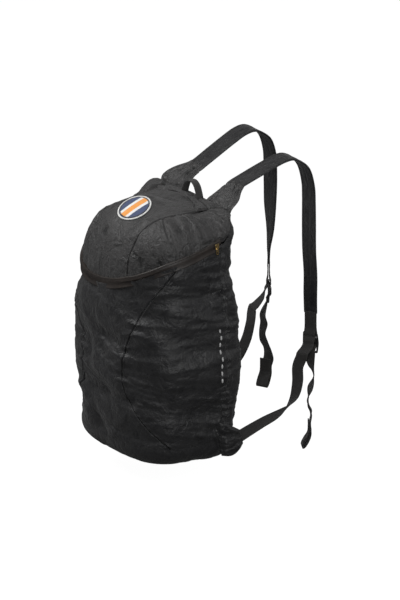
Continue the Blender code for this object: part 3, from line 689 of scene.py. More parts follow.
def wall_folds(angle, height, rise):
    """How far the wall's cloth stands out of its smooth section, by folds, crinkles and gathers.

    Each kind of fold is noise over spans in metres, from its own seed, times its height in metres.
    """
    around = np.radians(angle) * around_radius
    turned = np.abs(wrapped(angle))
    from_front = np.radians(turned - front_seam(np.clip(rise, 0, 1))) * around_radius
    from_side = np.radians(turned - side_seam_angle) * around_radius
    from_top = edge_height(angle) - height
    back = turned > side_seam_angle
    broad = cloth_noise(around / 0.060 + 3.1, height / 0.036 + around / 0.11, 3) * 0.0054
    broad = broad - dent_at(angle, height) * 0.9
    broad = np.where(back, broad * 0.7, broad)
    soft = creases(around / 0.110 + 7.0, (height + around * 0.16) / 0.018, 11) * 0.0016
    small = creases(around / 0.024, height / 0.011, 21) * 0.00055
    # Level folds that start at the seams and run into the panels
    wandered = height + cloth_noise(around / 0.05, height / 0.03, 31) * 0.006
    pull = 0.35 + fade_from(from_front, 0.022) + 1.1 * fade_from(from_side, 0.026)
    strength = np.where(from_front > 0, 0.0029, 0.0026 * fade_from(from_front, 0.034))
    level = creases(around / 0.060, wandered / 0.0135, 41) * strength * pull
    # Short puckers across the side seams, and strong gathers at the bottom corners
    pucker = creases(around / 0.030, wandered / 0.0068, 51) * 0.0019 * fade_from(from_side, 0.012)
    gather = creases(around / 0.008 + height / 0.03, height / 0.011 - around / 0.02, 61) * 0.0030
    gather = gather * hill(height, 0.045, 0.035) * fade_from(from_side, 0.020)
    # Tucks under the flap, where the cloth draws in, and a bulge beside the zip's near end
    tucks = creases(around / 0.013, from_top / 0.05, 71) * 0.0008 * fade_from(from_top, 0.012)
    under = -0.0006 * fade_from(from_top, 0.006)
    bulge = 0.0060 * hill(wrapped(angle), 127.0, 13.0) * hill(height, 0.350, 0.016)
    # The seams lie a little sunk, with a lap beside each
    sunk = -0.0026 * hill(from_side, 0.0, 0.0017) - 0.0030 * hill(from_front, 0.0, 0.0016)
    lap = 0.0006 * (hill(from_front, 0.0035, 0.0016) + hill(from_side, 0.0040, 0.0020))
    near_base = 1 - hill(height, base_round, 0.006)
    near_top = 1 - 0.9 * hill(from_top, 0.0, 0.010)
    folds = broad + soft + small + level + pucker + gather + tucks + under + bulge
    return folds * near_base * np.where(back, near_top, 1.0) + (sunk + lap) * near_top


def front_seam(rise):
    """Angle of the curved front seam at shares of the wall's height."""
    return read_table(SEAM, rise)[0]


def wall_points(angle, rise, drop):
    """Points on the folded wall at angles and shares of its height, which ends drop below its edge."""
    bottom = base_round + seam_gap / 2
    height = bottom + rise * (edge_height(angle) - drop - bottom)
    return on_axis(outline_radius(angle, height) + wall_folds(angle, height, rise), angle, height)


def wall_grid(first_angle, last_angle, columns, drop=front_drop):
    """Points of one wall panel between two seams, each a function of the height share."""
    crowded = (1 - np.cos(np.pi * np.linspace(0, 1, columns))) / 2
    rise, share = np.meshgrid(np.linspace(0, 1, wall_rows), crowded, indexing="ij")
    start = first_angle(rise)
    return wall_points(start + (last_angle(rise) - start) * share, rise, drop)


def side_seam(angle):
    """Straight seam at an angle, as a function of the height share."""
    return lambda rise: angle + 0 * rise


def make_walls(nylon):
    """Front, side and back panels from the base seam up to the zip line and the back's top edge."""
    def far_front(rise):
        """Angle of the front seam on the wearer's left."""
        return -front_seam(rise)

    near_seam = side_seam(side_seam_angle)
    front = cloth_piece("front_wall", wall_grid(far_front, front_seam, 132), cloth, nylon)
    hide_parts("front_panel")
    right = cloth_piece("side_wall_right", wall_grid(front_seam, near_seam, 88), cloth, nylon)
    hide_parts("side_panel_right")
    left = cloth_piece("side_wall_left", wall_grid(side_seam(-side_seam_angle), far_front, 88), cloth, nylon)
    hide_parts("side_panel_left")
    back_grid = wall_grid(near_seam, side_seam(360 - side_seam_angle), 150, rear_drop)
    back = cloth_piece("back_wall", back_grid, cloth, nylon)
    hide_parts("back_panel")
    return [front, right, left, back]


def make_base(nylon):
    """Rounded bottom dish, from the middle out and up to the base seam."""
    angle = np.linspace(0, 360, 220, endpoint=False)
    flat = outline_radius(angle, base_round + 0 * angle) - base_round
    lines = []
    for share in np.linspace(0.01, 1.0, 26):
        lines.append((flat * share, -base_sag * (1 - share * share) + 0 * angle))
    for bend in np.linspace(0, math.pi / 2, 22)[1:]:
        lines.append((flat + base_round * math.sin(bend), base_round * (1 - math.cos(bend)) + 0 * angle))
    radius = np.stack([line[0] for line in lines], axis=1)
    height = np.stack([line[1] for line in lines], axis=1)
    angles = np.repeat(angle[:, None], radius.shape[1], axis=1)
    points = on_axis(radius, angles, height)
    x = points[..., 0]
    y = points[..., 1]
    from_side = np.abs(np.abs(wrapped(angles)) - side_seam_angle) * math.pi / 180 * around_radius
    folds = creases(x / 0.040, y / 0.022, 81) * 0.0011
    folds = folds + cloth_noise(x / 0.05, y / 0.05, 82) * 0.0015
    folds = folds + creases(angles / 3.5, height / 0.03, 83) * 0.0016 * np.exp(-from_side / 0.03)
    calm = np.clip((base_round - height) / 0.008, 0, 1) * np.clip(radius / 0.02, 0, 1)
    points = points + grid_normals(points) * (np.minimum(folds, 0.0004) * calm)[..., None]
    piece = cloth_piece("base", points, cloth, nylon, around=True)
    mend(piece.data, fill=True)
    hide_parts("base_panel")
    return piece


def rear_edge_y(x):
    """Depth of the back's top edge at x."""
    def inside(y):
        angle = np.degrees(np.arctan2(x, -y))
        return np.hypot(x, y) < outline_radius(angle, back_height + 0 * angle)

    start = 0.0 * np.asarray(x, float)
    return halved(start, start + back_depth * 1.2, inside, 40)


def lid_front_angle(x):
    """Angle at which the lid's edge passes x, on the front side."""
    x = np.asarray(x, float)
    sign = np.where(x >= 0, 1.0, -1.0)

    def inside(angle):
        edge = outline_radius(sign * angle, edge_height(sign * angle))
        return edge * np.sin(np.radians(angle)) < np.abs(x)

    return sign * halved(0.0 * x, 0.0 * x + 90.0, inside, 30)


def lid_edge_reach(angle):
    """Reach at which the lid stops, a little above the zip line or at the back's top edge."""
    rise = zip_gap / 2
    height = edge_height(angle)
    top = back_height + lid_crown
    reach = lid_radius(angle, height + rise) / outline_radius(angle, height)
    whole = (np.abs(wrapped(angle)) > side_seam_angle) | (top - height < 4 * rise)
    return np.where(whole, 1.0, reach)


def rear_seam_y(x, row):
    """Depth of the two rear seams of the lid, row 0 in front of row 1."""
    near = np.interp(x, [-0.075, -0.024, 0.0, 0.042, 0.075], [0.053, 0.0616, 0.0604, 0.050, 0.036])
    far = np.interp(x, [-0.075, -0.018, 0.014, 0.045, 0.078], [0.066, 0.0718, 0.0700, 0.0640, 0.0558])
    return far if row else near


def seam_course(share, run):
    """Plan of lines along the lid's centre panel at shares of its half width; it narrows to the front."""
    narrowing = seam_front_share + (1 - seam_front_share) * eased(np.clip(run / 0.62, 0.0, 1.0))
    x = lid_half * share * narrowing
    front = lid_front_angle(lid_half * share * seam_front_share)
    start = lid_point(front, lid_edge_reach(front))[..., 1]
    y = start + (rear_edge_y(lid_half * share) - start) * run ** 1.9
    return x, y, front


def make_lid_top(nylon):
    """Centre panel of the lid, from the zip line over the front edge and back to the rear edge."""
    crowded = -np.cos(np.pi * np.linspace(0, 1, 96))
    share, run = np.meshgrid(crowded, np.linspace(0, 1, 260), indexing="ij")
    x, y, front = seam_course(share, run)
    points = lid_over(x, y)
    points[:, 0, 2] = edge_height(front[:, 0]) + zip_gap / 2
    strides = np.linalg.norm(np.diff(points, axis=1), axis=-1)
    length = np.concatenate([np.zeros((len(x), 1)), np.cumsum(strides, axis=1)], axis=1)
    seam = lid_half * (1 - np.abs(share))
    folds = creases(x / 0.034 + 4.0, length / 0.030, 101) * 0.0008
    folds = folds + creases(x / 0.012, length / 0.014, 102) * 0.00028
    folds = folds + cloth_noise(x / 0.05, length / 0.045, 103) * 0.0011
    folds = folds + creases(x / 0.05, length / 0.0075, 104) * 0.00055 * fade_from(seam, 0.007)
    folds = folds + creases(x / 0.010, length / 0.06, 105) * 0.0007 * fade_from(length - 0.004, 0.010)
    # The cloth is pulled flat under the badge
    badge_way = np.hypot(x, y + badge_setback) / (badge_diameter / 2 + 0.004)
    folds = folds * np.clip(badge_way - 0.9, 0, 1)
    # The seams are sunk with a lap beside each, and the strip between the rear seams stands higher
    seams = 0.0006 * hill(seam, 0.0035, 0.0016) - 0.0022 * hill(seam, 0.0, 0.0014)
    for row, step in ((0, 0.0012), (1, -0.0014)):
        behind = y - rear_seam_y(x, row)
        seams = seams + step / (1 + np.exp(-behind / 0.0005))
        seams = seams + 0.0014 * hill(behind, 0.0034, 0.0018) - 0.0030 * hill(behind, 0.0, 0.0013)
    gathers = creases(x / 0.011, y / 0.03, 106) * 0.0016 * fade_from(y - rear_seam_y(x, 0), 0.006)
    out = (folds + seams + gathers) * between(run, 0.03, 0.03)
    piece = cloth_piece("lid_top", points + grid_normals(points) * out[..., None], cloth, nylon)
    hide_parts("lid_top_panel")
    return piece


def make_lid_side(side, nylon):
    """Side gusset of the lid, gathered along the centre panel's seam and above the zip."""
    turn = SIDES[side]
    seam_x, seam_y, _ = seam_course(turn + np.zeros(400), np.linspace(0, 1, 400))
    seam_x = np.abs(seam_x) + seam_gap
    seam_angle = np.degrees(np.arctan2(seam_x, -seam_y))
    front = float(seam_angle[0]) + 0.35
    rear = float(seam_angle[-1]) - 0.6
    turned, run = np.meshgrid(np.linspace(front, rear, 150), np.linspace(0, 1, 60), indexing="ij")
    angle = turn * turned
    edge = outline_radius(angle, edge_height(angle))
    outer = lid_edge_reach(angle[:, 0])[:, None]
    inner = np.minimum(np.interp(turned, seam_angle, np.hypot(seam_x, seam_y)) / edge, outer - 0.004)
    reach = outer - (outer - inner) * run ** 1.8
    points = lid_point(angle, reach)
    height = points[..., 2]
    around = np.radians(angle) * around_radius
    wandered = around + cloth_noise(around / 0.03, height / 0.03, 115) * 0.004
    upright = creases(wandered / 0.0135, height / 0.060, 111) * 0.0016
    rise = height - height[:, :1]
    fall = height[:, -1:] - height
    upright = upright * (0.45 + fade_from(rise, 0.018) + 0.9 * fade_from(fall, 0.020))
    broad = cloth_noise(around / 0.030 + 2.0, height / 0.060, 112) * 0.0028
    small = creases(around / 0.011, height / 0.012, 113) * 0.00030
    # The gusset bulges at the near rear corner beside the zip's end
    bulge = 0.0065 * hill(turned, 122.0, 12.0) * hill(height, 0.352, 0.014)
    ends = np.clip((turned - front) / 3.0, 0, 1) * np.clip((rear - turned) / 3.0, 0, 1)
    out = (upright + broad + small + bulge) * between(run, 0.05, 0.04) * ends
    out = out - 0.0022 * hill((reach - inner) * edge, 0.0, 0.0016)
    grid = points + grid_normals(points) * out[..., None]
    piece = cloth_piece("lid_gusset_" + side, grid, cloth, nylon)
    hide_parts("lid_side_" + side)
    return piece


def make_zip_flap(tape):
    """Narrow flap over the zip, sewn along its top and flaring a little at its lower edge."""
    angle = np.linspace(-1, 1, 300) * (side_seam_angle - flap_end_setback)
    edge_z = edge_height(angle)
    lines = []
    for rise, out in FLAP_PROFILE:
        wave = cloth_noise(angle / 5.5, rise + 0 * angle, 121) * 0.00035
        height = edge_z + max(rise, -0.5) * flap_width + wave
        radius = flap_radius(angle, np.minimum(height, edge_z + 0.5 * flap_width))
        height = height + min(rise + 0.5, 0) * flap_width
        lines.append(on_axis(radius + out * 0.001 + wave, angle, height))
    piece = cloth_piece("zip_cover", np.stack(lines, axis=1), flap_tape, tape, "zip_tape")
    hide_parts("zip_flap")
    return piece


def band_frame(rows, lead_in=None, lead_out=None):
    """Centre, width direction, face direction and width along a flat strap's rows."""
    rows = np.array(rows, float)
    centre = rows[:, :3]
    before = np.array((lead_in or rows[0])[:3])
    after = np.array((lead_out or rows[-1])[:3])
    leads = np.concatenate([before[None], centre, after[None]])
    along = leads[2:] - leads[:-2]
    along /= np.linalg.norm(along, axis=1, keepdims=True)
    heading = np.radians(rows[:, 3])
    pitch = np.radians(rows[:, 4])
    across = np.stack([np.cos(pitch) * np.cos(heading), np.cos(pitch) * np.sin(heading), np.sin(pitch)],
                      axis=1)
    across -= along * np.sum(across * along, axis=1, keepdims=True)
    across /= np.linalg.norm(across, axis=1, keepdims=True)
    return centre, across, np.cross(along, across), rows[:, 5]


def band_profile(thickness, hem, hem_share, crease, columns):
    """Closed section of a strap as shares of its width and heights, thicker along its hems."""
    share = np.linspace(-0.5, 0.5, columns)
    edge = np.clip((0.5 - np.abs(share)) / hem_share, 0, 1)
    rounding = np.sqrt(np.clip(1 - (1 - np.clip((0.5 - np.abs(share)) / 0.03, 0, 1)) ** 2, 0, 1))
    half = (thickness / 2 + hem * (edge < 1) * np.sin(math.pi * np.clip(edge, 0, 1)) ** 0.6) * rounding
    middle = crease * np.exp(-(share / 0.05) ** 2)
    top = list(zip(share, half - middle))
    bottom = list(zip(share, -half - middle))[::-1]
    return np.array(top + bottom[1:-1])


def band_piece(name, rows, profile, material, slot, lead_in=None, lead_out=None, ripple=None):
    """Flat strap with a drawn section, closed at both ends, with a map of length and width."""
    centre, across, face, width = band_frame(rows, lead_in, lead_out)
    length = np.concatenate([[0], np.cumsum(np.linalg.norm(np.diff(centre, axis=0), axis=1))])[:, None]
    share = profile[None, :, 0]
    sideways = share * width[:, None]
    up = np.repeat(profile[None, :, 1], len(centre), axis=0)
    if ripple is not None:
        up = up + ripple(length, sideways, share)
    points = centre[:, None] + across[:, None] * sideways[..., None] + face[:, None] * up[..., None]
    ring = len(profile)
    last = (len(centre) - 1) * ring
    faces = [tuple(range(ring - 1, -1, -1)), *tube_faces(len(centre), ring, False)]
    faces.append(tuple(last + corner for corner in range(ring)))
    uv = np.stack(np.broadcast_arrays(length, sideways), axis=-1)
    return mesh_piece(name, points.reshape(-1, 3), faces, material, slot, uv.reshape(-1, 2))


def band_line(rows, share, up, lead_in):
    """Line along a strap at a share of its width, for its thread."""
    centre, across, face, width = band_frame(rows, lead_in)
    return centre + across * (share * width)[:, None] + face * up


def back_face(height):
    """Depth of the back panel's flat at a height, before its dents."""
    return back_depth * float(read_table(SECTIONS, height / back_height)[2])


def yoke_root():
    """Depth and height at which the yokes leave the back's top edge."""
    return back_face(back_height) + seam_gap * 3 + strap_thickness / 2, back_height


def carry_rows(side):
    """Rows of yoke and strap together, as x, y, z, heading, pitch and width."""
    turn = SIDES[side]
    root_y, root_z = yoke_root()
    rows = []
    for (reach, rise, offset, width), pitch, trim in zip(YOKE_ROUTE, YOKE_PITCH[side], YOKE_TRIM):
        x = yoke_base_offset + (strap_offset - yoke_base_offset) * offset
        span = yoke_base_width + (strap_width - yoke_base_width) * width - 2 * trim
        sewn = 0.0011 * max(1 - reach / 0.2, 0.0)
        y = root_y - sewn + reach * yoke_reach
        rows.append((turn * x, y, root_z + rise * yoke_rise, 0.0, pitch, span))
    start_y = root_y + yoke_reach
    start_z = root_z + yoke_rise
    crown = crown_rise - turn * crown_difference / 2
    drop = strap_drop + turn * drop_difference / 2
    for reach, arch, fall, taper, turning in STRAP_ROUTE:
        x = strap_offset + webbing_width * 0.25 * taper
        y = start_y + reach * strap_reach
        z = start_z + arch * crown - fall * drop
        width = strap_width + (strap_end_width - strap_width) * taper
        rows.append((turn * x, y, z, strap_turn[side] * turning * turn, 0.0, width))
    return rows


def tack_row(span, share, count):
    """Points across a band, from minus to plus a share of its span."""
    return np.linspace(-share, share, count)[:, None] * span


def make_carry(side, yoke_nylon_painted_top_lit, nylon, threads):
    """Yoke and shoulder strap of one side, with rolled hems and a crease down the strap."""
    steps = 12
    samples = smooth_path(carry_rows(side), steps)
    cut = (len(YOKE_ROUTE) - 1) * steps
    seed = YOKE_SEED[side]

    def yoke_ripple(length, across, share):
        """Gathers of the yoke that run up into the strap."""
        inner = np.clip(length / 0.006, 0, 1) * np.clip((0.5 - np.abs(share)) / 0.06, 0, 1)
        fan = creases(share * 7.0, length / 0.05, seed) * 0.0022
        small = creases(across / 0.010, length / 0.013, seed + 2) * 0.0008
        # The root follows the rounded corner of the back's top edge
        round_corner = rear_edge_y(SIDES[side] * yoke_base_offset + across) - rear_edge_y(np.zeros(1))
        return (fan + small) * inner + round_corner * hill(length, 0.0, 0.022)

    def strap_ripple(length, across, share):
        """Soft cross folds and crinkles of the strap's cloth."""
        inner = np.clip((0.5 - np.abs(share)) / 0.12, 0.25, 1)
        soft = cloth_noise(length / 0.030, across / 0.05, seed + 5) * 0.0007
        small = creases(length / 0.013, across / 0.011, seed + 7) * 0.00032
        return (soft + small) * inner

    profile = band_profile(yoke_thickness, strap_hem, 0.07, 0.0, 61)
    # The yoke takes the lid's nylon, painted lighter as painted top light
    yoke = band_piece("yoke_cloth_" + side, samples[:cut + 1], profile, yoke_nylon_painted_top_lit, "nylon",
                      lead_out=samples[cut + 1], ripple=yoke_ripple)
    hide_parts("yoke_" + side)
    strap_rows = samples[cut:]
    profile = band_profile(strap_thickness * 0.85, strap_hem, 0.13, strap_thickness * 0.15, 45)
    strap = band_piece("strap_cloth_" + side, strap_rows, profile, nylon, "nylon",
                       lead_in=samples[cut - 1], ripple=strap_ripple)
    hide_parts("shoulder_strap_" + side)
    for share in (-0.36, 0.36):
        for facing in (thread_reach, -thread_reach):
            threads.append((strap, band_line(strap_rows, share, facing, samples[cut - 1])))
    # Two rows across the strap where it is sewn to the yoke
    centre, across, face, width = band_frame(samples)
    for step in (cut + 2, cut + 5):
        row = centre[step] + tack_row(across[step] * width[step], 0.42, 12)
        threads.append((strap, row + face[step] * thread_reach))
        threads.append((strap, row - face[step] * thread_reach))
    return [yoke, strap]


def buckle_frame(side):
    """Middle of the buckle's middle bar, its width direction, its outward direction and its heading."""
    heading = strap_turn[side] * SIDES[side]
    centre = np.array(carry_rows(side)[-1][:3]) - up_by(cuff_length + buckle_bar + buckle_slot)
    across = level_at(heading)
    out = np.cross((0, 0, 1), across)
    if out[1] < 0:
        out = -out
    return centre, across, out, heading


def webbing_profile():
    """Section of the webbing, a little thicker inside its two selvages."""
    return band_profile(webbing_thickness, webbing_selvage, 0.10, 0.0, 25)


def make_cuff(side, webbing, threads):
    """Webbing cuff, doubled round the buckle's top bar and sewn to the strap's end."""
    centre, across, out, heading = buckle_frame(side)
    bar = centre + up_by(buckle_bar + buckle_slot)
    wrap = buckle_bar / 2 + seam_gap * 1.6 + webbing_thickness / 2
    layer = webbing_thickness / 2 + seam_gap
    half = [
        # out, up
        (layer * 1.15, cuff_length + cuff_overlap),
        (layer, cuff_length * 0.6),
        (layer * 1.3, cuff_length * 0.3),
        (wrap, wrap * 0.9),
        (wrap * 1.12, 0.0),
        (wrap * 0.8, -wrap * 0.9),
    ]
    route = [*half, (0.0, -wrap * 1.25), *((-outward, up) for outward, up in reversed(half))]
    rows = [(*(bar + out * outward + up_by(up)), heading, 0.0, webbing_width) for outward, up in route]
    cuff = band_piece("cuff_" + side, smooth_path(rows, 6), webbing_profile(), webbing, "webbing")
    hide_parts("strap_cuff_" + side)
    for up in (0.9, 0.82, 0.48, 0.42):
        row = bar + up_by(up * cuff_length) + tack_row(across * webbing_width, 0.42, 10)
        threads.append((cuff, row + out * thread_reach))
        threads.append((cuff, row - out * thread_reach))
    return cuff


def soften(piece, name, width, segments):
    """Rounded edges on a moulded or cast piece."""
    bevel = piece.modifiers.new(name, "BEVEL")
    bevel.width = width
    bevel.segments = segments
    bevel.limit_method = "ANGLE"


def make_ladder_lock(side, plastic):
    """Moulded buckle of three bars between two rails, a little curved, with rounded edges."""
    centre, across, out, _ = buckle_frame(side)
    slot_half = (webbing_width + buckle_slot_play) / 2
    columns = [-slot_half - buckle_bar, -slot_half, -slot_half / 3]
    columns += [-column for column in reversed(columns)]
    top = buckle_bar * 1.5 + buckle_slot
    rows = [-top, -top + buckle_bar, -buckle_bar / 2]
    rows += [-row for row in reversed(rows)]
    holes = {(column, row) for column in (1, 2, 3) for row in (1, 3)}
    points = []
    for face in (-0.5, 0.5):
        for row in rows:
            for column in columns:
                pinch = 1 - 0.10 * (row / top) ** 2 if abs(column) > slot_half else 1
                bow = -0.0012 * (row / top) ** 2 + 0.0004
                points.append(centre + across * column * pinch + up_by(row) + out * (face * buckle_bar + bow))
    width = len(columns)
    below = width * len(rows)
    filled = {(column, row) for column in range(width - 1) for row in range(len(rows) - 1)} - holes
    faces = []
    for column, row in sorted(filled):
        a = row * width + column
        square = (a, a + 1, a + 1 + width, a + width)
        faces.append(square)
        faces.append(tuple(below + corner for corner in reversed(square)))
        beside = [(column, row - 1), (column + 1, row), (column, row + 1), (column - 1, row)]
        for cell, start, end in zip(beside, square, square[1:] + square[:1]):
            if cell not in filled:
                faces.append((start, below + start, below + end, end))
    lock = mesh_piece("buckle_" + side, points, faces, plastic, "buckle")
    soften(lock, "rounded edges", buckle_rounding, 3)
    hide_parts("ladder_lock_" + side)
    return lock


def tab_place(side):
    """Inner face, depth and height of one corner tab's tip, where the webbing starts."""
    face_x = bag_width / 2 * float(read_table(SECTIONS, anchor_height / back_height)[0])
    return SIDES[side], face_x, back_depth * 0.58 + tab_length * 0.72


def make_corner_tab(side, nylon, threads):
    """Folded triangular tab at a bottom back corner, gathered towards the webbing that it carries."""
    turn, face_x, tip_y = tab_place(side)
    root = tip_y - tab_length * 0.72
    inner = face_x + dent_depth + seam_gap
    corners = np.array([(-0.24, 0.56), (0.00, -0.38), (0.72, -0.10), (0.60, 0.27)])
    u, v = np.meshgrid(np.linspace(0, 1, 44), np.linspace(0, 1, 44), indexing="ij")
    weights = np.stack([(1 - u) * (1 - v), u * (1 - v), u * v, (1 - u) * v], axis=-1)
    bulge = np.sin(np.pi * v) * (0.13 * u - 0.05 * (1 - u))
    flat = weights @ corners + bulge[..., None] * np.array((0.45, -0.90))
    edge = np.minimum(np.minimum(u, 1 - u), np.minimum(v, 1 - v))
    puff = np.clip(edge / 0.16, 0, 1) ** 0.5
    fan = creases(u * 3.6 + v * 0.6, v * 0.9, 301) * 0.0030 + creases(u * 7.0, v * 3.2, 302) * 0.0011
    x = inner + tab_thickness + puff * (0.0012 + fan) - 0.0004 - 0.0050 * hill(v, 0.0, 0.16)
    back = root + flat[..., 0] * tab_length
    up = anchor_height + flat[..., 1] * tab_height
    points = np.stack([turn * x, back, up], axis=-1)
    tab = cloth_piece("tab_" + side, points, tab_thickness, nylon, centre=(0, back.mean(), up.mean()))
    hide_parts("corner_tab_" + side)
    for column in (-4, -7):
        threads.append((tab, points[3:-3, column] + np.array((turn * thread_reach, 0, 0))))
    return tab


def webbing_rows(side):
    """Rows of the webbing from the corner tab, round the buckle's bars and down to its sewn loop."""
    turn, face_x, tip_y = tab_place(side)
    anchor = np.array((turn * (face_x + dent_depth - webbing_thickness), tip_y - tab_length * 0.12,
                       anchor_height + tab_height * 0.06))
    centre, _, out, heading = buckle_frame(side)
    rows = []
    for (sideways, back, height, pitch), twist in zip(LOAD_ROUTE, LOAD_TWIST[side]):
        spot = anchor + (centre - anchor) * np.array((sideways, back, height))
        rows.append((*spot, heading + twist, pitch * turn, webbing_width))
    twists = FOLD_TWIST[side] + [0.0] * len(BUCKLE_ROUTE)
    for (outward, up), twist in zip(FOLD_ROUTE[side] + BUCKLE_ROUTE, twists):
        spot = centre + out * outward * 0.001 + up_by(up * 0.001)
        rows.append((*spot, heading + twist, 0.0, webbing_width))
    x, y, z = rows[-1][:3]
    hanging = tail_length + turn * tail_difference / 2
    for fall, sway, turned in TAIL_ROUTE[side]:
        rows.append((x, y + sway * webbing_width, z - fall * hanging, heading + turned, 0.0, webbing_width))
    end_heading = rows[-1][3]
    swing = level_at(end_heading + 90)
    if swing[1] > 0:
        swing = -swing
    low = np.array(rows[-1][:3])
    layer = (webbing_thickness + seam_gap * 2) / tail_loop
    loop = [
        # along the swing and down, as shares of the loop
        (0.0, 0.35),
        (0.10, 0.65),
        (0.26, 0.92),
        (0.38, 1.0),
        (0.41, 0.88),
        (0.28, 0.60),
        (layer * 1.6, 0.34),
        (layer, 0.08),
        (layer, -0.35),
    ]
    for sideways, down in loop:
        spot = low + (swing * sideways - up_by(down)) * tail_loop
        rows.append((*spot, end_heading, 0.0, webbing_width))
    return rows, low, end_heading, swing


def make_webbing(side, webbing, threads):
    """Webbing from the corner tab, through the buckle, down to its sewn loop, with its bar-tacks."""
    rows, low, end_heading, swing = webbing_rows(side)
    piece = band_piece("strap_webbing_" + side, smooth_path(rows, 7), webbing_profile(), webbing, "webbing")
    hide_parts("webbing_" + side)
    for down in (-0.26, -0.20, -0.02, 0.04):
        row = low - up_by(down * tail_loop) + tack_row(level_at(end_heading) * webbing_width, 0.40, 10)
        threads.append((piece, row - swing * thread_reach))
        threads.append((piece, row + swing * thread_reach * 1.5))
    return piece


def make_haul_loop(webbing):
    """Small grab loop that stands on the lid's rear edge between the yokes."""
    y = float(rear_edge_y(0.0)) - haul_width / 2 - 0.0015
    half = haul_span / 2
    foot = float(lid_over(np.array(half), np.array(y))[2]) + seam_gap
    rows = [(half * across, y, foot + up * haul_height, 90.0, 0.0, haul_width) for across, up in HAUL_ROUTE]
    profile = band_profile(webbing_thickness, webbing_selvage, 0.12, 0.0, 19)
    loop = band_piece("grab_loop", smooth_path(rows, 8), profile, webbing, "webbing")
    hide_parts("haul_loop")
    return loop


def make_badge(patch, rim_thread):
    """Round sewn patch that follows the lid's top, with an overlocked white rim."""
    angle = np.linspace(0, 2 * math.pi, 96, endpoint=False)
    radius = badge_diameter / 2 - rim_width

    def over_lid(reach, lift):
        """Points a little over the lid at distances from the badge's middle."""
        x = np.cos(angle) * reach
        y = -badge_setback + np.sin(angle) * reach * badge_squash
        return lid_over(x, y) + up_by(lift)

    rings = [over_lid(share * radius, badge_lift) for share in np.linspace(0.02, 1.0, 22)]
    grid = np.stack(rings, axis=1)[::-1]
    disc = cloth_piece("badge_disc", grid, badge_cloth, patch, "badge", around=True)
    mend(disc.data, fill=True)
    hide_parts("badge")
    # The rim is a thread-covered roll round the disc
    section = np.linspace(0, 2 * math.pi, 12, endpoint=False)
    edge = over_lid(radius + 0.0002, rim_lift)
    outward = edge - lid_over(np.array(0.0), np.array(-badge_setback)) - up_by(rim_lift)
    outward /= np.linalg.norm(outward, axis=1, keepdims=True)
    along = np.roll(edge, -1, axis=0) - np.roll(edge, 1, axis=0)
    along /= np.linalg.norm(along, axis=1, keepdims=True)
    upward = np.cross(outward, along)
    points = (edge[:, None] + outward[:, None] * (np.cos(section) * 0.00135)[None, :, None]
              + upward[:, None] * (np.sin(section) * 0.00105)[None, :, None])
    faces = tube_faces(len(angle), len(section), True)
    uv = np.stack(np.broadcast_arrays((angle * radius)[:, None], section[None] * 0.001), axis=-1)
    rim = mesh_piece("badge_rim", points.reshape(-1, 3), faces, rim_thread, "badge", uv.reshape(-1, 2))
    return [disc, rim]


def oval(half_width, middle, half_height, power=1.0):
    """Outline of a plate, across and up: an ellipse, squared off by a power below 1."""
    outline = []
    for angle in np.linspace(0, 2 * math.pi, 24, endpoint=False):
        across = math.copysign(abs(math.cos(angle)) ** power, math.cos(angle))
        up = math.copysign(abs(math.sin(angle)) ** power, math.sin(angle))
        outline.append((half_width * across, middle + half_height * up))
    return outline


def plate_faces(count):
    """Faces of a flat plate with one round hole, from two layers of an outline and its hole."""
    ring = 2 * count
    faces = []
    for spot in range(count):
        after = (spot + 1) % count
        faces.append((spot, after, count + after, count + spot))
        faces.append((ring + spot, ring + count + spot, ring + count + after, ring + after))
        faces.append((spot, ring + spot, ring + after, after))
        faces.append((count + spot, count + after, ring + count + after, ring + count + spot))
    return faces


def make_zip_pull(brass):
    """Brass slider at the end of the zip, its bridge, and its tongue hanging over the flap."""
    height = float(edge_height(pull_angle))
    heights = height + np.array((0.5, 0.3, 0.1, -0.2, -0.5)) * flap_width
    foot = float(np.max(flap_radius(np.full(5, pull_angle), heights))) + flap_cloth + seam_gap
    seat = on_axis(foot, pull_angle, height)
    ahead, behind = (on_axis(outline_radius(np.array(turned), np.array(height)), turned, height)
                     for turned in (pull_angle + 1, pull_angle - 1))
    across = (ahead - behind) / np.linalg.norm(ahead - behind)
    outward = np.array((across[1], -across[0], 0))
    outward /= np.linalg.norm(outward)
    plates = [
        # outline, hole, thickness, lift
        (oval(0.0034, 0.0008, 0.0042, 0.6), oval(0.0006, 0.0008, 0.0006), 0.0014, 0.0),
        (oval(0.0022, -0.0066, 0.0052, 0.7), oval(0.0010, -0.0090, 0.0014), 0.0009, 0.0015),
    ]
    points = []
    faces = []
    for outline, hole, thickness, lift in plates:
        start = len(points)
        for out in (lift, lift + thickness):
            for sideways, up in outline + hole:
                points.append(seat + across * sideways + up_by(up) + outward * out)
        faces += [tuple(start + corner for corner in face) for face in plate_faces(len(outline))]
    pull = mesh_piece("slider", points, faces, brass, "brass")
    soften(pull, "worn edges", pull_rounding, 2)
    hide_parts("zip_pull")
    return pull


def settle(piece, path, lift):
    """Path laid on the nearest of a piece's faces, lifted a little out of it."""
    corners = [vertex.co for vertex in piece.data.vertices]
    tree = BVHTree.FromPolygons(corners, [face.vertices for face in piece.data.polygons])
    spots = []
    for point in path:
        found, normal, _, _ = tree.find_nearest(Vector(point) + bag_place)
        spots.append(found + normal * lift)
    return spots


def feed(tree, socket, value):
    """Link another socket to an input, or write a plain value to it."""
    if isinstance(value, bpy.types.NodeSocket):
        tree.links.new(value, socket)
    else:
        socket.default_value = value


def add_node(tree, kind, settings=(), **inputs):
    """Node with its settings, whose named inputs are sockets or plain values; _ stands for a space."""
    node = tree.nodes.new(kind)
    for label, value in settings:
        setattr(node, label, value)
    for label, value in inputs.items():
        feed(tree, node.inputs[label.replace("_", " ")], value)
    return node


def math_node(tree, operation, *values):
    """Result of a math node whose inputs are sockets or numbers."""
    node = add_node(tree, "ShaderNodeMath", [("operation", operation)])
    for socket, value in zip(node.inputs, values):
        feed(tree, socket, value)
    return node.outputs["Value"]


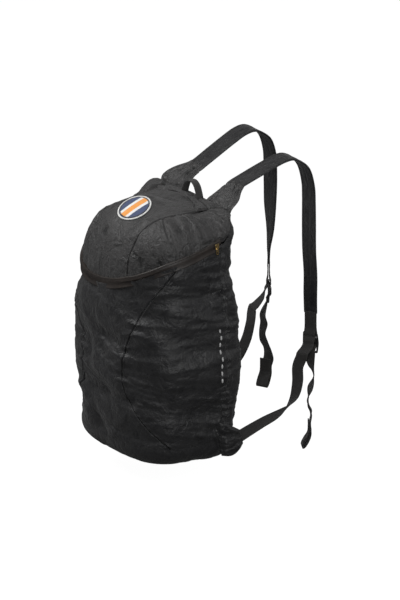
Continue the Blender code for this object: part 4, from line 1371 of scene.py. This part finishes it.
def thread_tree():
    """Geometry Nodes tree that sews stitches of one length along every line of a mesh."""
    tree = bpy.data.node_groups.new("stitches along lines", "GeometryNodeTree")
    sockets = [
        ("Lines", "INPUT", "Geometry"),
        ("Stitch Pitch", "INPUT", "Float"),
        ("Stitch Length", "INPUT", "Float"),
        ("Thread Radius", "INPUT", "Float"),
        ("Thread", "INPUT", "Material"),
        ("Stitches", "OUTPUT", "Geometry"),
    ]
    for label, way, kind in sockets:
        tree.interface.new_socket(label, in_out=way, socket_type="NodeSocket" + kind)
    given = tree.nodes.new("NodeGroupInput").outputs
    curve = add_node(tree, "GeometryNodeMeshToCurve", Mesh=given["Lines"])
    spots = add_node(tree, "GeometryNodeResampleCurve", [("mode", "LENGTH")],
                     Curve=curve.outputs["Curve"], Length=given["Stitch Pitch"])
    tangent = tree.nodes.new("GeometryNodeInputTangent")
    align = add_node(tree, "FunctionNodeAlignEulerToVector", [("axis", "Z")],
                     Vector=tangent.outputs["Tangent"])
    ball = add_node(tree, "GeometryNodeMeshUVSphere", Segments=6, Rings=4, Radius=1.0)
    size = add_node(tree, "ShaderNodeCombineXYZ", X=given["Thread Radius"], Y=given["Thread Radius"],
                    Z=math_node(tree, "MULTIPLY", given["Stitch Length"], 0.5))
    stitches = add_node(tree, "GeometryNodeInstanceOnPoints", Points=spots.outputs["Curve"],
                        Instance=ball.outputs["Mesh"], Rotation=align.outputs["Rotation"],
                        Scale=size.outputs["Vector"])
    real = add_node(tree, "GeometryNodeRealizeInstances", Geometry=stitches.outputs["Instances"])
    painted = add_node(tree, "GeometryNodeSetMaterial", Geometry=real.outputs["Geometry"],
                       Material=given["Thread"])
    add_node(tree, "NodeGroupOutput", Stitches=painted.outputs["Geometry"])
    return tree


def sew(name, runs, thread, tree, slot, pitch=stitch_pitch, length=stitch_length, radius=thread_radius):
    """Stitches along runs of (piece, path), turned into one plain mesh."""
    spots = []
    edges = []
    for piece, path in runs:
        start = len(spots)
        spots += settle(piece, path, radius * 0.35)
        edges += [(start + step, start + step + 1) for step in range(len(path) - 1)]
    mesh = bpy.data.meshes.new(name + " lines")
    mesh.from_pydata([tuple(spot) for spot in spots], edges, [])
    guide = placed(name + " lines", mesh)
    modifier = guide.modifiers.new("stitches", "NODES")
    modifier.node_group = tree
    values = {"Stitch Pitch": pitch, "Stitch Length": length, "Thread Radius": radius, "Thread": thread}
    for item in tree.interface.items_tree:
        if item.in_out == "INPUT" and item.name in values:
            modifier[item.identifier] = values[item.name]
    bpy.context.view_layer.update()
    evaluated = guide.evaluated_get(bpy.context.evaluated_depsgraph_get())
    sewn = bpy.data.meshes.new_from_object(evaluated)
    sewn.name = name
    sewn.shade_smooth()
    guide.modifiers.remove(modifier)
    bpy.data.objects.remove(guide)
    if not sewn.materials:
        sewn.materials.append(thread)
    piece = placed(name, sewn)
    piece["slot"] = slot
    return piece


def seam_runs(walls, lid_top):
    """Lines of thread beside the seams of the walls and the lid."""
    _, right, left, back = walls
    rise = np.linspace(0.01, 0.985, 240)
    beside = math.degrees(0.0026 / around_radius)
    runs = []
    for turn, wall in ((1, right), (-1, left)):
        runs.append((wall, wall_points(turn * (front_seam(rise) + beside), rise, front_drop)))
        side = turn * (side_seam_angle + 1.3) + 0 * rise
        runs.append((back, wall_points(side, rise * 0.94, rear_drop)))
    along = np.linspace(0, 1, 160)
    for turn in (1, -1):
        x, y, _ = seam_course(turn * 0.965 + 0 * along, 0.02 + 0.88 * along)
        runs.append((lid_top, lid_over(x, y)))
    half = lid_panel_width / 2 - 0.0048
    x = np.linspace(-half, half, 120)
    for row, shift in ((0, 0.0022), (1, -0.0024)):
        runs.append((lid_top, lid_over(x, rear_seam_y(x, row) + shift)))
    return runs


def flap_run(flap):
    """Line of thread along the flap's upper edge."""
    angle = np.linspace(-1, 1, 400) * (side_seam_angle - flap_end_setback - 1.0)
    height = edge_height(angle) + 0.31 * flap_width
    return flap, on_axis(flap_radius(angle, height) + 0.001, angle, height)


def make_seam_shadow_line(lid_top, seam_shadow_thread, tree):
    """Black thread lines in the lid's two rear seams, a painted shadow of the seams' grooves."""
    half = lid_panel_width / 2 - 0.001
    x = np.linspace(-half, half, 120)
    runs = []
    for row, shift in ((0, seam_shadow_shift), (1, -seam_shadow_shift)):
        runs.append((lid_top, lid_over(x, rear_seam_y(x, row) + shift)))
    return sew("rear_seam_painted_shadow", runs, seam_shadow_thread, tree, "nylon",
               seam_shadow_pitch, seam_shadow_length, seam_shadow_radius)


def make_print(wall, ink, tree):
    """Plain light dashes printed down the side panel beside the near side seam."""
    rise = np.linspace(*dash_rise, 80)
    path = wall_points(side_seam_angle - dash_turn + 0 * rise, rise, front_drop)
    return sew("printed_dashes", [(wall, path)], ink, tree, "nylon",
               dash_pitch, dash_length, dash_radius)


def shader_group(name, inputs, outputs):
    """Empty shader group with named inputs and outputs, with its inner input and output nodes."""
    group = bpy.data.node_groups.new(name, "ShaderNodeTree")
    for label in inputs:
        group.interface.new_socket(label, in_out="INPUT", socket_type="NodeSocketFloat")
    for label in outputs:
        group.interface.new_socket(label, in_out="OUTPUT", socket_type="NodeSocketFloat")
    return group, group.nodes.new("NodeGroupInput").outputs, group.nodes.new("NodeGroupOutput").inputs


def object_place(tree):
    """Place on the piece, for noise that stays with it."""
    return tree.nodes.new("ShaderNodeTexCoord").outputs["Object"]


def band_place(tree):
    """Length along a woven band and place across its width, from its map."""
    split = add_node(tree, "ShaderNodeSeparateXYZ", Vector=tree.nodes.new("ShaderNodeUVMap").outputs["UV"])
    return split.outputs["X"], split.outputs["Y"]


def noise_node(tree, vector, scale, detail=2.0, roughness=0.5, distortion=0.0):
    """Noise over a vector, from 0 to 1."""
    node = add_node(tree, "ShaderNodeTexNoise", Vector=vector, Scale=scale, Detail=detail,
                    Roughness=roughness, Distortion=distortion)
    return node.outputs["Fac"]


def crests(tree, noise):
    """Sharp crests where a noise passes its middle value."""
    away = math_node(tree, "ABSOLUTE", math_node(tree, "SUBTRACT", noise, 0.5))
    return math_node(tree, "MULTIPLY_ADD", away, -4.0, 1.0)


def crinkle_group():
    """Crinkles of thin parachute nylon: sharp small crests on the cloth, its uneven shine, and a tone of
    random mottle mixed with painted shade in the hollows and painted highlight on the crests.
    """
    group, _, end = shader_group("nylon crinkles", [], ["Height", "Mottle", "Fine", "Tone And Painted Crease Shade"])
    place = object_place(group)
    large = crests(group, noise_node(group, place, 55.0, 3.0, 0.55, 0.6))
    small = crests(group, noise_node(group, place, 190.0, 2.5, 0.6, 0.8))
    height = math_node(group, "MULTIPLY_ADD", small, 0.35, large)
    mottle = noise_node(group, place, 28.0, 4.0, 0.6, 0.3)
    feed(group, end["Height"], height)
    feed(group, end["Mottle"], mottle)
    feed(group, end["Fine"], noise_node(group, place, 620.0, 2.0, 0.6))
    # The tone is random mottle plus crest height: hollows are painted darker as shade, crests painted lighter
    # as highlight
    faded = math_node(group, "MULTIPLY", mottle, 0.55)
    feed(group, end["Tone And Painted Crease Shade"], math_node(group, "MULTIPLY_ADD", height, 0.38, faded))
    return group


def weave_group():
    """Ribs of a woven band across its length, from its map of length and width."""
    group, start, end = shader_group("woven ribs", ["Rib Width", "Yarn Width"], ["Height"])
    along, across = band_place(group)
    ribs = math_node(group, "DIVIDE", along, start["Rib Width"])
    yarns = math_node(group, "DIVIDE", across, start["Yarn Width"])
    parity = math_node(group, "MULTIPLY", math_node(group, "FLOOR", yarns), 0.5)
    turned = math_node(group, "MULTIPLY", math_node(group, "ADD", ribs, parity), 2 * math.pi)
    rib = math_node(group, "SINE", turned)
    yarn = math_node(group, "SINE", math_node(group, "MULTIPLY", yarns, math.pi))
    yarn = math_node(group, "ABSOLUTE", yarn)
    feed(group, end["Height"], math_node(group, "MULTIPLY_ADD", rib, 0.5, yarn))
    return group


def new_material(name, **inputs):
    """Material whose Principled shader has named inputs set, with its tree and shader."""
    material = bpy.data.materials.new(name)
    material.use_nodes = True
    shader = material.node_tree.nodes["Principled BSDF"]
    for label, value in inputs.items():
        shader.inputs[label.replace("_", " ")].default_value = value
    return material, material.node_tree, shader


def use_group(tree, group, **inputs):
    """Outputs of a group placed in a material with its own values."""
    return add_node(tree, "ShaderNodeGroup", [("node_tree", group)], **inputs).outputs


def ramp(tree, factor, stops):
    """Colours or greys between stops of a factor."""
    node = add_node(tree, "ShaderNodeValToRGB", Fac=factor)
    elements = node.color_ramp.elements
    while len(elements) < len(stops):
        elements.new(0.5)
    for element, (position, colour) in zip(elements, stops):
        element.position = position
        element.color = (*(colour if isinstance(colour, tuple) else (colour,) * 3), 1.0)
    return node.outputs["Color"]


def paint(tree, shader, label, factor, *stops):
    """Colours or greys between stops of a factor, into one input of a shader."""
    feed(tree, shader.inputs[label], ramp(tree, factor, stops))


def add_bump(tree, shader, height, strength, distance, under=None):
    """Bump from a height into the shader's normal."""
    bump = add_node(tree, "ShaderNodeBump", Strength=strength, Distance=distance, Height=height)
    if under is not None:
        feed(tree, bump.inputs["Normal"], under)
    feed(tree, shader.inputs["Normal"], bump.outputs["Normal"])
    return bump.outputs["Normal"]


def nylon_material(name, crinkles, dark, light, low_gloss, high_gloss, depth):
    """Black parachute nylon with crinkles, uneven shine and a faint sheen, its colour painted darker in the
    crinkles' hollows as shade and lighter on their crests as highlight.
    """
    material, tree, shader = new_material(name, Sheen_Weight=0.12, Sheen_Roughness=0.4,
                                          Specular_IOR_Level=0.42)
    look = use_group(tree, crinkles)
    # Base colour comes from the tone: random mottle with painted shade in the hollows and painted highlight
    # on the crests
    paint(tree, shader, "Base Color", look["Tone And Painted Crease Shade"], (0.36, dark), (0.74, light))
    paint(tree, shader, "Roughness", look["Mottle"], (0.30, low_gloss), (0.70, high_gloss))
    first = add_bump(tree, shader, look["Height"], 0.75, depth)
    add_bump(tree, shader, look["Fine"], 0.35, 0.00010, first)
    return material


def webbing_material(weave, crinkles):
    """Woven polyester webbing, slightly warm dark grey, with ribs."""
    material, tree, shader = new_material("woven webbing", Roughness=0.62, Sheen_Weight=0.15)
    mottle = use_group(tree, crinkles)["Mottle"]
    paint(tree, shader, "Base Color", mottle, (0.30, (0.012, 0.011, 0.0105)), (0.75, (0.024, 0.022, 0.021)))
    ribs = use_group(tree, weave, Rib_Width=0.0013, Yarn_Width=0.0011)
    add_bump(tree, shader, ribs["Height"], 0.7, 0.00022)
    return material


def tape_material(crinkles):
    """Brown-black laminated tape of the rain flap, smooth with a soft shine."""
    material, tree, shader = new_material("flap tape")
    look = use_group(tree, crinkles)
    brown = (0.30, (0.014, 0.0105, 0.009)), (0.75, (0.030, 0.023, 0.019))
    paint(tree, shader, "Base Color", look["Mottle"], *brown)
    paint(tree, shader, "Roughness", look["Fine"], (0.3, 0.42), (0.7, 0.55))
    add_bump(tree, shader, look["Height"], 0.25, 0.0004)
    return material


def thread_material(name, colour):
    """Twisted sewing thread."""
    material, tree, shader = new_material(name, Roughness=0.6)
    grain = noise_node(tree, object_place(tree), 2500.0, 1.0)
    shade = tuple(value * 0.7 for value in colour)
    paint(tree, shader, "Base Color", grain, (0.3, shade), (0.7, colour))
    return material


def plastic_material():
    """Moulded black acetal with a fine spark texture."""
    material, tree, shader = new_material("buckle plastic")
    grain = noise_node(tree, object_place(tree), 1800.0, 2.0)
    rubbed = noise_node(tree, object_place(tree), 160.0, 3.0)
    paint(tree, shader, "Base Color", rubbed, (0.35, (0.008, 0.008, 0.009)), (0.75, (0.018, 0.018, 0.019)))
    paint(tree, shader, "Roughness", rubbed, (0.3, 0.42), (0.7, 0.58))
    add_bump(tree, shader, grain, 0.3, 0.00006)
    return material


def brass_material():
    """Worn brass of the slider."""
    material, tree, shader = new_material("zip brass", Metallic=1.0)
    wear = noise_node(tree, object_place(tree), 420.0, 3.0)
    paint(tree, shader, "Base Color", wear, (0.3, (0.34, 0.23, 0.09)), (0.7, (0.62, 0.46, 0.22)))
    paint(tree, shader, "Roughness", wear, (0.3, 0.42), (0.7, 0.26))
    return material


def badge_material():
    """Embroidered field of straight bars, navy, white and orange, inside a thin navy ring."""
    material, tree, shader = new_material("badge embroidery", Roughness=0.55, Sheen_Weight=0.2)
    centre = Vector((0, -badge_setback, 0)) + bag_place
    half = badge_diameter / 2
    mapping = add_node(tree, "ShaderNodeMapping", [("vector_type", "TEXTURE")], Vector=object_place(tree),
                       Location=(centre.x, centre.y, 0), Scale=(half, half * badge_squash, 1))
    split = add_node(tree, "ShaderNodeSeparateXYZ", Vector=mapping.outputs["Vector"])
    x = split.outputs["X"]
    y = split.outputs["Y"]
    navy = (0.030, 0.050, 0.130)
    white = (0.80, 0.80, 0.78)
    orange = (0.85, 0.33, 0.055)
    slant = math_node(tree, "MULTIPLY_ADD", x, 0.5, 0.5)
    bars = ramp(tree, slant, [(0.0, navy), (0.30, white), (0.40, orange), (0.60, white), (0.70, navy)])
    bars.node.color_ramp.interpolation = "CONSTANT"
    square = math_node(tree, "ADD", math_node(tree, "MULTIPLY", x, x), math_node(tree, "MULTIPLY", y, y))
    ring = math_node(tree, "GREATER_THAN", math_node(tree, "SQRT", square), 0.82)
    mix = add_node(tree, "ShaderNodeMix", [("data_type", "RGBA")], Factor=ring)
    feed(tree, mix.inputs["A"], bars)
    feed(tree, mix.inputs["B"], (0.012, 0.014, 0.026, 1.0))
    feed(tree, shader.inputs["Base Color"], mix.outputs["Result"])
    rows = math_node(tree, "SINE", math_node(tree, "MULTIPLY", y, 220.0))
    add_bump(tree, shader, rows, 0.5, 0.00015)
    return material


def rim_material():
    """White overlocked thread round the badge."""
    material, tree, shader = new_material("badge rim thread", Roughness=0.6)
    along, across = band_place(tree)
    twist = math_node(tree, "MULTIPLY_ADD", across, 0.3, along)
    wave = math_node(tree, "SINE", math_node(tree, "MULTIPLY", twist, 2 * math.pi / 0.0009))
    # The twist's grooves are painted darker as shade and its crests lighter as highlight, following the wave
    # of the bump
    shade = math_node(tree, "MULTIPLY_ADD", wave, 0.5, 0.5)
    paint(tree, shader, "Base Color", shade, (0.0, (0.55, 0.55, 0.54)), (0.6, (0.85, 0.85, 0.83)))
    add_bump(tree, shader, wave, 0.6, 0.0002)
    return material


def floor_material():
    """Pale floor that the camera sees as bright as the surround behind it."""
    material, tree, shader = new_material("pale floor", Base_Color=(*(floor_grey,) * 3, 1.0), Roughness=0.9,
                                          Emission_Color=(1.0, 1.0, 1.0, 1.0))
    seen = tree.nodes.new("ShaderNodeLightPath").outputs["Is Camera Ray"]
    feed(tree, shader.inputs["Emission Strength"], math_node(tree, "MULTIPLY", seen, floor_seen))
    return material


def add_camera():
    """Camera at the photograph's angle, with a long view that keeps sizes."""
    azimuth = math.radians(camera_azimuth)
    elevation = math.radians(camera_elevation)
    right = Vector((math.cos(azimuth), math.sin(azimuth), 0))
    level = Vector((math.sin(azimuth), -math.cos(azimuth), 0))
    towards = level * math.cos(elevation) + Vector((0, 0, math.sin(elevation)))
    up = towards.cross(right)
    width, height = picture_size
    across, down = crowns_seen_at
    centre = (right * (width / 2 - across) - up * (height / 2 - down)) / pixels_per_metre
    camera = bpy.data.cameras.new("camera")
    camera.type = "ORTHO"
    camera.sensor_fit = "VERTICAL"
    camera.ortho_scale = height / pixels_per_metre
    holder = placed("camera", camera)
    holder.location = centre + towards * camera_distance
    holder.rotation_euler = towards.to_track_quat("Z", "Y").to_euler()
    bpy.context.scene.camera = holder


def add_light(name, place, size, power):
    """Square soft box at a place, facing the bag's middle."""
    lamp = bpy.data.lights.new(name, "AREA")
    lamp.size = size
    lamp.energy = power
    holder = placed(name, lamp)
    holder.location = place
    holder.rotation_euler = (Vector(place) - bag_middle).to_track_quat("Z", "Y").to_euler()


def add_studio():
    """White surround, pale floor and soft boxes above, in front, at the side and behind."""
    world = bpy.data.worlds.new("white studio")
    world.use_nodes = True
    tree = world.node_tree
    background = tree.nodes["Background"]
    background.inputs["Color"].default_value = (1.0, 1.0, 1.0, 1.0)
    seen = tree.nodes.new("ShaderNodeLightPath").outputs["Is Camera Ray"]
    strength = math_node(tree, "MULTIPLY_ADD", seen, seen_white - surround_light, surround_light)
    feed(tree, background.inputs["Strength"], strength)
    bpy.context.scene.world = world
    bpy.context.scene.view_settings.view_transform = "Standard"
    for light in SOFT_BOXES:
        add_light(*light)
    mesh = bpy.data.meshes.new("floor")
    corners = [(-floor_half, -floor_half), (floor_half, -floor_half), (floor_half, floor_half),
               (-floor_half, floor_half)]
    mesh.from_pydata([(x, y, floor_height) for x, y in corners], [], [(0, 1, 2, 3)])
    mesh.materials.append(floor_material())
    floor = placed("floor", mesh)


def main():
    """Make every piece of the bag, its finish, the studio and the camera."""
    crinkles = crinkle_group()
    nylon = nylon_material("body nylon", crinkles, (0.005, 0.005, 0.006), (0.017, 0.017, 0.018),
                           low_gloss=0.42, high_gloss=0.60, depth=0.0012)
    # Lid and yoke nylon: the body's black nylon painted about twice as light, as painted top light
    lid_nylon_painted_top_lit = nylon_material("lid nylon painted lighter as top light", crinkles, (0.007, 0.007, 0.007), (0.034, 0.033, 0.033),
                               low_gloss=0.40, high_gloss=0.60, depth=0.0017)
    web = webbing_material(weave_group(), crinkles)
    plastic = plastic_material()
    tree = thread_tree()
    threads = []
    walls = make_walls(nylon)
    pieces = [*walls, make_base(nylon)]
    lid_top = make_lid_top(lid_nylon_painted_top_lit)
    pieces += [lid_top, make_lid_side("right", lid_nylon_painted_top_lit), make_lid_side("left", lid_nylon_painted_top_lit)]
    flap = make_zip_flap(tape_material(crinkles))
    pieces.append(flap)
    for side in SIDES:
        pieces += make_carry(side, lid_nylon_painted_top_lit, nylon, threads)
        pieces.append(make_cuff(side, web, threads))
        pieces.append(make_ladder_lock(side, plastic))
        pieces.append(make_corner_tab(side, nylon, threads))
        pieces.append(make_webbing(side, web, threads))
    pieces.append(make_haul_loop(web))
    pieces += make_badge(badge_material(), rim_material())
    pieces.append(make_zip_pull(brass_material()))
    # Sewing thread along the seams, a little lighter than the cloth so that it also gives the seams a painted
    # highlight
    seam_thread_and_highlight = thread_material("seam thread lightened for seam highlight", (0.030, 0.029, 0.028))
    seams = seam_runs(walls, lid_top) + [flap_run(flap)]
    pieces.append(sew("seam_stitches", seams, seam_thread_and_highlight, tree, "nylon"))
    web_thread = thread_material("webbing thread", (0.030, 0.028, 0.027))
    pieces.append(sew("strap_stitches", threads, web_thread, tree, "webbing"))
    pieces.append(make_print(walls[1], thread_material("light ink", (0.55, 0.55, 0.55)), tree))
    # Black thread in the lid's rear seams, as painted shadow of their grooves
    seam_shadow_thread = thread_material("black painted seam shadow", (0.003, 0.003, 0.003))
    pieces.append(make_seam_shadow_line(lid_top, seam_shadow_thread, tree))
    for piece in pieces:
        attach(piece, "root")
    add_studio()
    add_camera()


main()
